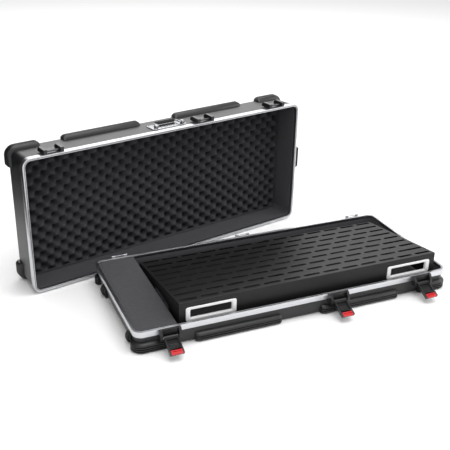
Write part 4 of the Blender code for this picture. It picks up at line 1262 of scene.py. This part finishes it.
def build_wheels():
    """Grooved tyre on a spoked hub, with a domed steel axle in its housing."""
    for name in ("front", "rear"):
        low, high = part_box("wheel_" + name)
        centre = (low + high) / 2
        radius = (high.z - low.z) / 2
        half = (high.y - low.y) / 2
        place = Matrix.Translation(centre)
        tyre = as_object("wheel_tyre_" + name, turned(even_profile(TYRE, radius, half), 72), "rubber", 30)
        fit(tyre, "roller_" + name, "wheel_rubber", "wheel_" + name, at=place)
        bore = AXLE + FIT
        hub = [(bore, half), *even_profile(HUB, radius, half), (bore, -half)]
        obj = as_object("wheel_hub_" + name, turned(hub, 72), "hub", 30)
        for i in range(SPOKES):
            spoke = block((radius * 0.27, -half * 0.75, -1.2 * MM), (radius * 0.57, half * 0.75, 1.2 * MM),
                          0.3 * MM)
            turn = Matrix.Rotation(math.tau * i / SPOKES, 4, "Y")
            bmesh.ops.transform(spoke, matrix=turn, verts=spoke.verts)
            combine(obj, spoke, "UNION")
        fit(obj, "roller_" + name, "wheel_rubber", at=place)
        low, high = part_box("wheel_axle_" + name)
        middle = (low + high) / 2
        axle = bar(AXLE, (middle.x, low.y, middle.z), (middle.x, high.y, middle.z), 32, 0.35)
        pin = as_object("wheel_pin_" + name, axle, "nickel")
        fit(pin, "case_base", "hardware_chrome", "wheel_axle_" + name)
        refinish("wheel_housing_" + name, "guard", 0.8 * MM)


# ---- Handles ------------------------------------------------------------------------------------
HANDLE_UP = 96.5 * MM
GRIP = 7 * MM
GRIP_RINGS = 13
WIRE = 3 * MM
SPAN = 98 * MM
BAIL_DROP = 34 * MM
BAIL_PEG = 14 * MM
PIVOT_UP = 18 * MM
PLATE = (150 * MM, 64 * MM, 10 * MM)
PLATE_THICK = 3.6 * MM
LUG_WIDE = 12 * MM
HANDLE_SCREW = (3.6 * MM, 1.8 * MM)
HANDLE_SCREW_SPREAD = (66 * MM, 23 * MM)


def bail_wire(name):
    """Bent steel wire: pegs in the lugs, arms and the run inside the grip."""
    leg = SPAN / 2 - 1 * MM
    path = rounded([(-leg - BAIL_PEG, 0), (-leg, 0), (-leg, -BAIL_DROP), (leg, -BAIL_DROP), (leg, 0),
                    (leg + BAIL_PEG, 0)], 4 * MM, 6, closed=False)
    curve = bpy.data.curves.new(name, "CURVE")
    curve.dimensions = "3D"
    curve.bevel_depth = WIRE
    curve.bevel_resolution = 6
    curve.use_fill_caps = True
    add_spline(curve, [(x, 0.0, z) for x, z in path], False)
    mesh = mesh_of(curve)
    bm = bmesh.new()
    bm.from_mesh(mesh)
    bpy.data.meshes.remove(mesh)
    bmesh.ops.remove_doubles(bm, verts=bm.verts, dist=0.001 * MM)
    return as_object(name, bm, "nickel", 40)


def ribbed_grip(name):
    """Soft sleeve with rolled ends and finger rings along it."""
    half = SPAN / 2 - 6 * MM
    profile = [(WIRE + FIT, half), (GRIP * 0.8, half), (GRIP, half - 1.5 * MM), (GRIP, half - 5 * MM)]
    for i in range(GRIP_RINGS):
        y = (half - 7 * MM) * (1 - 2 * i / (GRIP_RINGS - 1))
        profile += [(GRIP * 0.97, y + 1.4 * MM), (GRIP * 0.88, y + 0.7 * MM), (GRIP * 0.88, y - 0.7 * MM),
                    (GRIP * 0.97, y - 1.4 * MM)]
    profile += [(GRIP, -half + 5 * MM), (GRIP, -half + 1.5 * MM), (GRIP * 0.8, -half), (WIRE + FIT, -half)]
    return as_object(name, turned(profile, 32), "rubber", 40)


def build_handles():
    turns = (("top", 0.0, WIDTH / 2), ("end", math.radians(-90), LENGTH / 2))
    wall_top = LID_HEIGHT - RIM_CAP
    lean = math.atan2(LID_DRAFT, wall_top)
    for name, turn, half_span in turns:
        out = half_span - shell_inset(HANDLE_UP, LID_HEIGHT, LID_DRAFT)
        wall = (LID @ Matrix.Rotation(turn, 4, "Z") @ Matrix.Translation((0, out, HANDLE_UP))
                @ Matrix.Rotation(-lean, 4, "X"))
        long, tall, corner = PLATE
        rows = [(long - 2 * inset, tall - 2 * inset, corner - inset, z) for inset, z in
                ((0.0, 0.6 * MM), (0.0, 2.4 * MM), (0.3 * MM, 3.0 * MM), (1.0 * MM, 3.5 * MM),
                 (2.2 * MM, PLATE_THICK))]
        flat = stack(rows, 10)
        bmesh.ops.transform(flat, matrix=Matrix.Rotation(math.radians(-90), 4, "X"), verts=flat.verts)
        obj = as_object("handle_base_" + name, flat, "nickel", 40)
        pivot_y = PLATE_THICK + 0.8 * MM + GRIP
        inner = SPAN / 2 + WIRE + 2 * FIT
        for sx in (-1, 1):
            left, right = sorted((sx * inner, sx * (inner + LUG_WIDE)))
            lug = block((left, 2 * MM, 10 * MM), (right, pivot_y + WIRE + 2.5 * MM, 26 * MM), 2 * MM, 4)
            combine(obj, lug, "UNION")
        combine(obj, bar(WIRE + FIT, (-0.1, pivot_y, PIVOT_UP), (0.1, pivot_y, PIVOT_UP), 32), "DIFFERENCE")
        fit(obj, "case_lid", "hardware_chrome", "handle_plate_" + name, at=wall)
        face = wall @ Matrix.Translation((0, PLATE_THICK, 0)) @ Matrix.Rotation(math.radians(-90), 4, "X")
        spread_x, spread_y = HANDLE_SCREW_SPREAD
        spots = [(sx * spread_x, sy * spread_y) for sx in (-1, 1) for sy in (-1, 1)]
        screws("handle_screws_" + name, spots, *HANDLE_SCREW, face, "case_lid")
        swung = math.radians(-JOINTS["handle_" + name + "_fold"]["range_deg"][0])
        axis = wall @ Matrix.Translation((0, pivot_y, PIVOT_UP)) @ Matrix.Rotation(swung, 4, "X")
        fit(bail_wire("handle_wire_" + name), "bail_" + name, "hardware_chrome", at=axis)
        sleeve = Matrix.Translation((0, 0, -BAIL_DROP)) @ Matrix.Rotation(math.radians(90), 4, "Z")
        fit(ribbed_grip("handle_sleeve_" + name), "bail_" + name, "grip_rubber", "handle_grip_" + name,
            at=axis @ sleeve)


# ---- Stage --------------------------------------------------------------------------------------
CAMERA_AT = Vector((-1.192, -2.3216, 1.5093))
CAMERA_YAW = math.radians(-23.3233)
CAMERA_PITCH = math.radians(-25.8979)
CAMERA_ROLL = math.radians(1.2253)
CAMERA_LENS = 62.83
FLOOR_HALF = 12.0
CLOTH_LOW = (-1.08, 0.1, 0.1)
CLOTH_SIZE = (1.6, 0.9)
# Each panel's name, place, aim, size, and share of the power of the one above.
PANELS = (("panel_above", (0.2, -0.6, 3.2), (0.0, 0.2, 0.2), (3.0, 2.0), 1.0),
          ("panel_right", (3.4, -0.8, 1.8), (0.2, 0.2, 0.2), (2.0, 1.6), 0.5),
          ("panel_left", (-3.2, -2.2, 1.6), (-0.2, 0.2, 0.2), (1.6, 1.6), 0.25),
          ("panel_behind", (1.4, 4.6, 2.9), (-0.1, 0.5, 0.4), (4.5, 1.8), 1.3))


def softbox(name, at, aim, size, power):
    """A soft studio panel that shines towards a point."""
    light = bpy.data.lights.new(name, "AREA")
    light.shape = "RECTANGLE"
    light.size, light.size_y = size
    light.energy = power
    obj = bpy.data.objects.new(name, light)
    obj.location = at
    obj.rotation_euler = (Vector(aim) - Vector(at)).to_track_quat("-Z", "Y").to_euler()
    bpy.context.scene.collection.objects.link(obj)


def staged(name, corners, material, colour, roughness):
    """One flat face of the studio, in one even finish."""
    mesh = bpy.data.meshes.new(name)
    mesh.from_pydata(corners, [], [range(len(corners))])
    made = bpy.data.objects.new(name, mesh)
    bpy.context.scene.collection.objects.link(made)
    mesh.materials.append(finish(material, Base_Color=rgba(colour), Roughness=roughness)[0])
    return made


def build_stage(settings):
    half = FLOOR_HALF
    floor = staged("studio_floor", [(-half, -half, 0), (half, -half, 0), (half, half, 0), (-half, half, 0)],
                   "matt_studio_paper", settings.floor_colour, 0.9)
    floor.location = (0.0, 2.0, CAD_BOX[0][2] - 0.5 * MM)

    # A black cloth on the left for the lid's end wall to mirror. The camera doesn't see it, and it
    # casts no shadow.
    deep, tall = CLOTH_SIZE
    x, y, z = CLOTH_LOW
    cloth = staged("studio_cloth", [(x, y, z), (x, y + deep, z), (x, y + deep, z + tall), (x, y, z + tall)],
                   "black_studio_velvet", linear("060606"), 1.0)
    cloth.visible_camera = False
    cloth.visible_diffuse = False
    cloth.visible_shadow = False

    world = bpy.data.worlds.new("studio_air")
    world.use_nodes = True
    tree = world.node_tree
    # The studio's left side is hung with dark cloth, so the air is dimmer towards it.
    around = add(tree, "ShaderNodeTexCoord").outputs["Generated"]
    towards = add(tree, "ShaderNodeSeparateXYZ", {"Vector": around})
    dim = add(tree, "ShaderNodeMapRange", {"Value": towards.outputs["X"], "From Min": -0.95, "From Max": -0.1,
                                           "To Min": settings.air * 0.3, "To Max": settings.air})
    tree.links.new(dim.outputs["Result"], tree.nodes["Background"].inputs["Strength"])
    tree.nodes["Background"].inputs["Color"].default_value = (1.0, 1.0, 1.0, 1.0)
    bpy.context.scene.world = world
    bpy.context.scene.view_settings.view_transform = "Standard"
    for name, at, aim, size, share in PANELS:
        softbox(name, at, aim, size, settings.key * share)

    camera = bpy.data.cameras.new("studio_camera")
    camera.lens = CAMERA_LENS
    camera.sensor_width = 36.0
    camera.clip_end = 60.0
    obj = bpy.data.objects.new("studio_camera", camera)
    bpy.context.scene.collection.objects.link(obj)
    obj.matrix_world = (Matrix.Translation(CAMERA_AT) @ Matrix.Rotation(CAMERA_YAW, 4, "Z")
                        @ Matrix.Rotation(math.radians(90) + CAMERA_PITCH, 4, "X")
                        @ Matrix.Rotation(CAMERA_ROLL, 4, "Z"))
    bpy.context.scene.camera = obj


# ---- Add-on -------------------------------------------------------------------------------------
def colour_property(name, description, value):
    return bpy.props.FloatVectorProperty(name=name, description=description, default=linear(value),
                                         subtype="COLOR", size=3, min=0.0, max=1.0)


def length_property(name, description, value):
    return bpy.props.FloatProperty(name=name, description=description, default=value, unit="LENGTH", min=0.0)


class PedalboardLooks(bpy.types.PropertyGroup):
    """Colours and sizes of the pedalboard and its case"""
    shell_colour: colour_property("Shell", "Black of the moulded case", "17181a")
    guard_colour: colour_property("Bumpers", "Black of the bumpers, runners and wheel housings", "19191b")
    rim_colour: colour_property("Rim", "Aluminium of the rims", "cdced1")
    foam_colour: colour_property("Foam", "Charcoal of the egg-crate foam", "333336")
    lining_colour: colour_property("Lining", "Dark grey of the walls and the floor pad", "37373a")
    block_colour: colour_property("Side block", "Grey of the padded block beside the board", "3e3e41")
    deck_colour: colour_property("Board", "Black of the powder-coated sheet", "161617")
    bay_colour: colour_property("Patch bays", "White of the patch-bay frames", "e9e9ea")
    latch_colour: colour_property("Latches", "Black of the latches and catches", "171718")
    release_colour: colour_property("Release", "Red of the release buttons", "cc0818")
    rubber_colour: colour_property("Rubber", "Black of tyres, feet and grips", "1a1a1b")
    nickel_colour: colour_property("Plating", "Nickel of the pins and handles", "aeafb2")
    slot_width: length_property("Slot width", "Width of a slot in the deck", 15 * MM)
    crate_long: length_property("Peak pitch along", "Foam peaks along one row", 58 * MM)
    crate_short: length_property("Peak pitch across", "Foam peaks across the rows", 50 * MM)
    crate_valley: length_property("Foam valley", "Foam thickness in its valleys", 12 * MM)
    crate_peak: length_property("Foam peak", "Foam thickness at its peaks", 50 * MM)


class StudioLooks(bpy.types.PropertyGroup):
    """Floor and light of the studio"""
    floor_colour: colour_property("Floor", "Colour of the studio floor", "fcfcfc")
    air: bpy.props.FloatProperty(name="Air", description="Light from all round", default=0.9, min=0.0)
    key: bpy.props.FloatProperty(name="Key", description="Power of the panel above", default=60.0, min=0.0,
                                 unit="POWER")


class PEDALBOARD_OT_shells(bpy.types.Operator):
    """Mould the two halves of the case and line their walls"""
    bl_idname = "pedalboard.shells"
    bl_label = "Case shells"

    def execute(self, context):
        build_shells()
        return {"FINISHED"}


class PEDALBOARD_OT_rims(bpy.types.Operator):
    """Fit the aluminium rims and their gaskets"""
    bl_idname = "pedalboard.rims"
    bl_label = "Rims"

    def execute(self, context):
        build_rims()
        return {"FINISHED"}


class PEDALBOARD_OT_guards(bpy.types.Operator):
    """Fit the ribbed corner bumpers and side runners"""
    bl_idname = "pedalboard.guards"
    bl_label = "Bumpers and runners"

    def execute(self, context):
        build_guards()
        return {"FINISHED"}


class PEDALBOARD_OT_padding(bpy.types.Operator):
    """Lay the egg-crate foam, the side block and the floor pad"""
    bl_idname = "pedalboard.padding"
    bl_label = "Foam and padding"

    def execute(self, context):
        build_padding(context.scene.pedalboard_looks)
        return {"FINISHED"}


class PEDALBOARD_OT_board(bpy.types.Operator):
    """Bend the slotted sheet and fit its ends, patch bays and feet"""
    bl_idname = "pedalboard.board"
    bl_label = "Board"

    def execute(self, context):
        build_board(context.scene.pedalboard_looks)
        return {"FINISHED"}


class PEDALBOARD_OT_latches(bpy.types.Operator):
    """Fit the latches and the catches that they hook"""
    bl_idname = "pedalboard.latches"
    bl_label = "Latches and catches"

    def execute(self, context):
        build_latches()
        build_keepers()
        return {"FINISHED"}


class PEDALBOARD_OT_hinges(bpy.types.Operator):
    """Plate and rivet the lift-off hinges"""
    bl_idname = "pedalboard.hinges"
    bl_label = "Hinges"

    def execute(self, context):
        build_hinges()
        return {"FINISHED"}


class PEDALBOARD_OT_wheels(bpy.types.Operator):
    """Fit the wheels, their pins and their housings"""
    bl_idname = "pedalboard.wheels"
    bl_label = "Wheels"

    def execute(self, context):
        build_wheels()
        return {"FINISHED"}


class PEDALBOARD_OT_handles(bpy.types.Operator):
    """Fit the two folding handles"""
    bl_idname = "pedalboard.handles"
    bl_label = "Handles"

    def execute(self, context):
        build_handles()
        return {"FINISHED"}


class PEDALBOARD_OT_stage(bpy.types.Operator):
    """Set the floor, the light and the camera"""
    bl_idname = "pedalboard.stage"
    bl_label = "Studio"

    def execute(self, context):
        build_stage(context.scene.pedalboard_studio)
        return {"FINISHED"}


STEPS = (PEDALBOARD_OT_stage, PEDALBOARD_OT_shells, PEDALBOARD_OT_rims, PEDALBOARD_OT_guards,
         PEDALBOARD_OT_padding, PEDALBOARD_OT_board, PEDALBOARD_OT_latches, PEDALBOARD_OT_hinges,
         PEDALBOARD_OT_wheels, PEDALBOARD_OT_handles)


class PEDALBOARD_PT_panel(bpy.types.Panel):
    """Steps, colours and sizes of the pedalboard and its case"""
    bl_idname = "PEDALBOARD_PT_panel"
    bl_label = "Pedalboard"
    bl_space_type = "VIEW_3D"
    bl_region_type = "UI"
    bl_category = "Pedalboard"

    def draw(self, context):
        for step in STEPS:
            self.layout.operator(step.bl_idname)
        for group in (context.scene.pedalboard_looks, context.scene.pedalboard_studio):
            for name in group.__annotations__:
                self.layout.prop(group, name)


CLASSES = (PedalboardLooks, StudioLooks) + STEPS + (PEDALBOARD_PT_panel,)


def register():
    for cls in CLASSES:
        bpy.utils.register_class(cls)
    bpy.types.Scene.pedalboard_looks = bpy.props.PointerProperty(type=PedalboardLooks)
    bpy.types.Scene.pedalboard_studio = bpy.props.PointerProperty(type=StudioLooks)


def unregister():
    del bpy.types.Scene.pedalboard_studio
    del bpy.types.Scene.pedalboard_looks
    for cls in reversed(CLASSES):
        bpy.utils.unregister_class(cls)


def main():
    register()
    make_palette(bpy.context.scene.pedalboard_looks)
    bpy.ops.pedalboard.stage()
    bpy.ops.pedalboard.shells()
    bpy.ops.pedalboard.rims()
    bpy.ops.pedalboard.guards()
    bpy.ops.pedalboard.padding()
    bpy.ops.pedalboard.board()
    bpy.ops.pedalboard.latches()
    bpy.ops.pedalboard.hinges()
    bpy.ops.pedalboard.wheels()
    bpy.ops.pedalboard.handles()


if __name__ == "__main__":
    main()
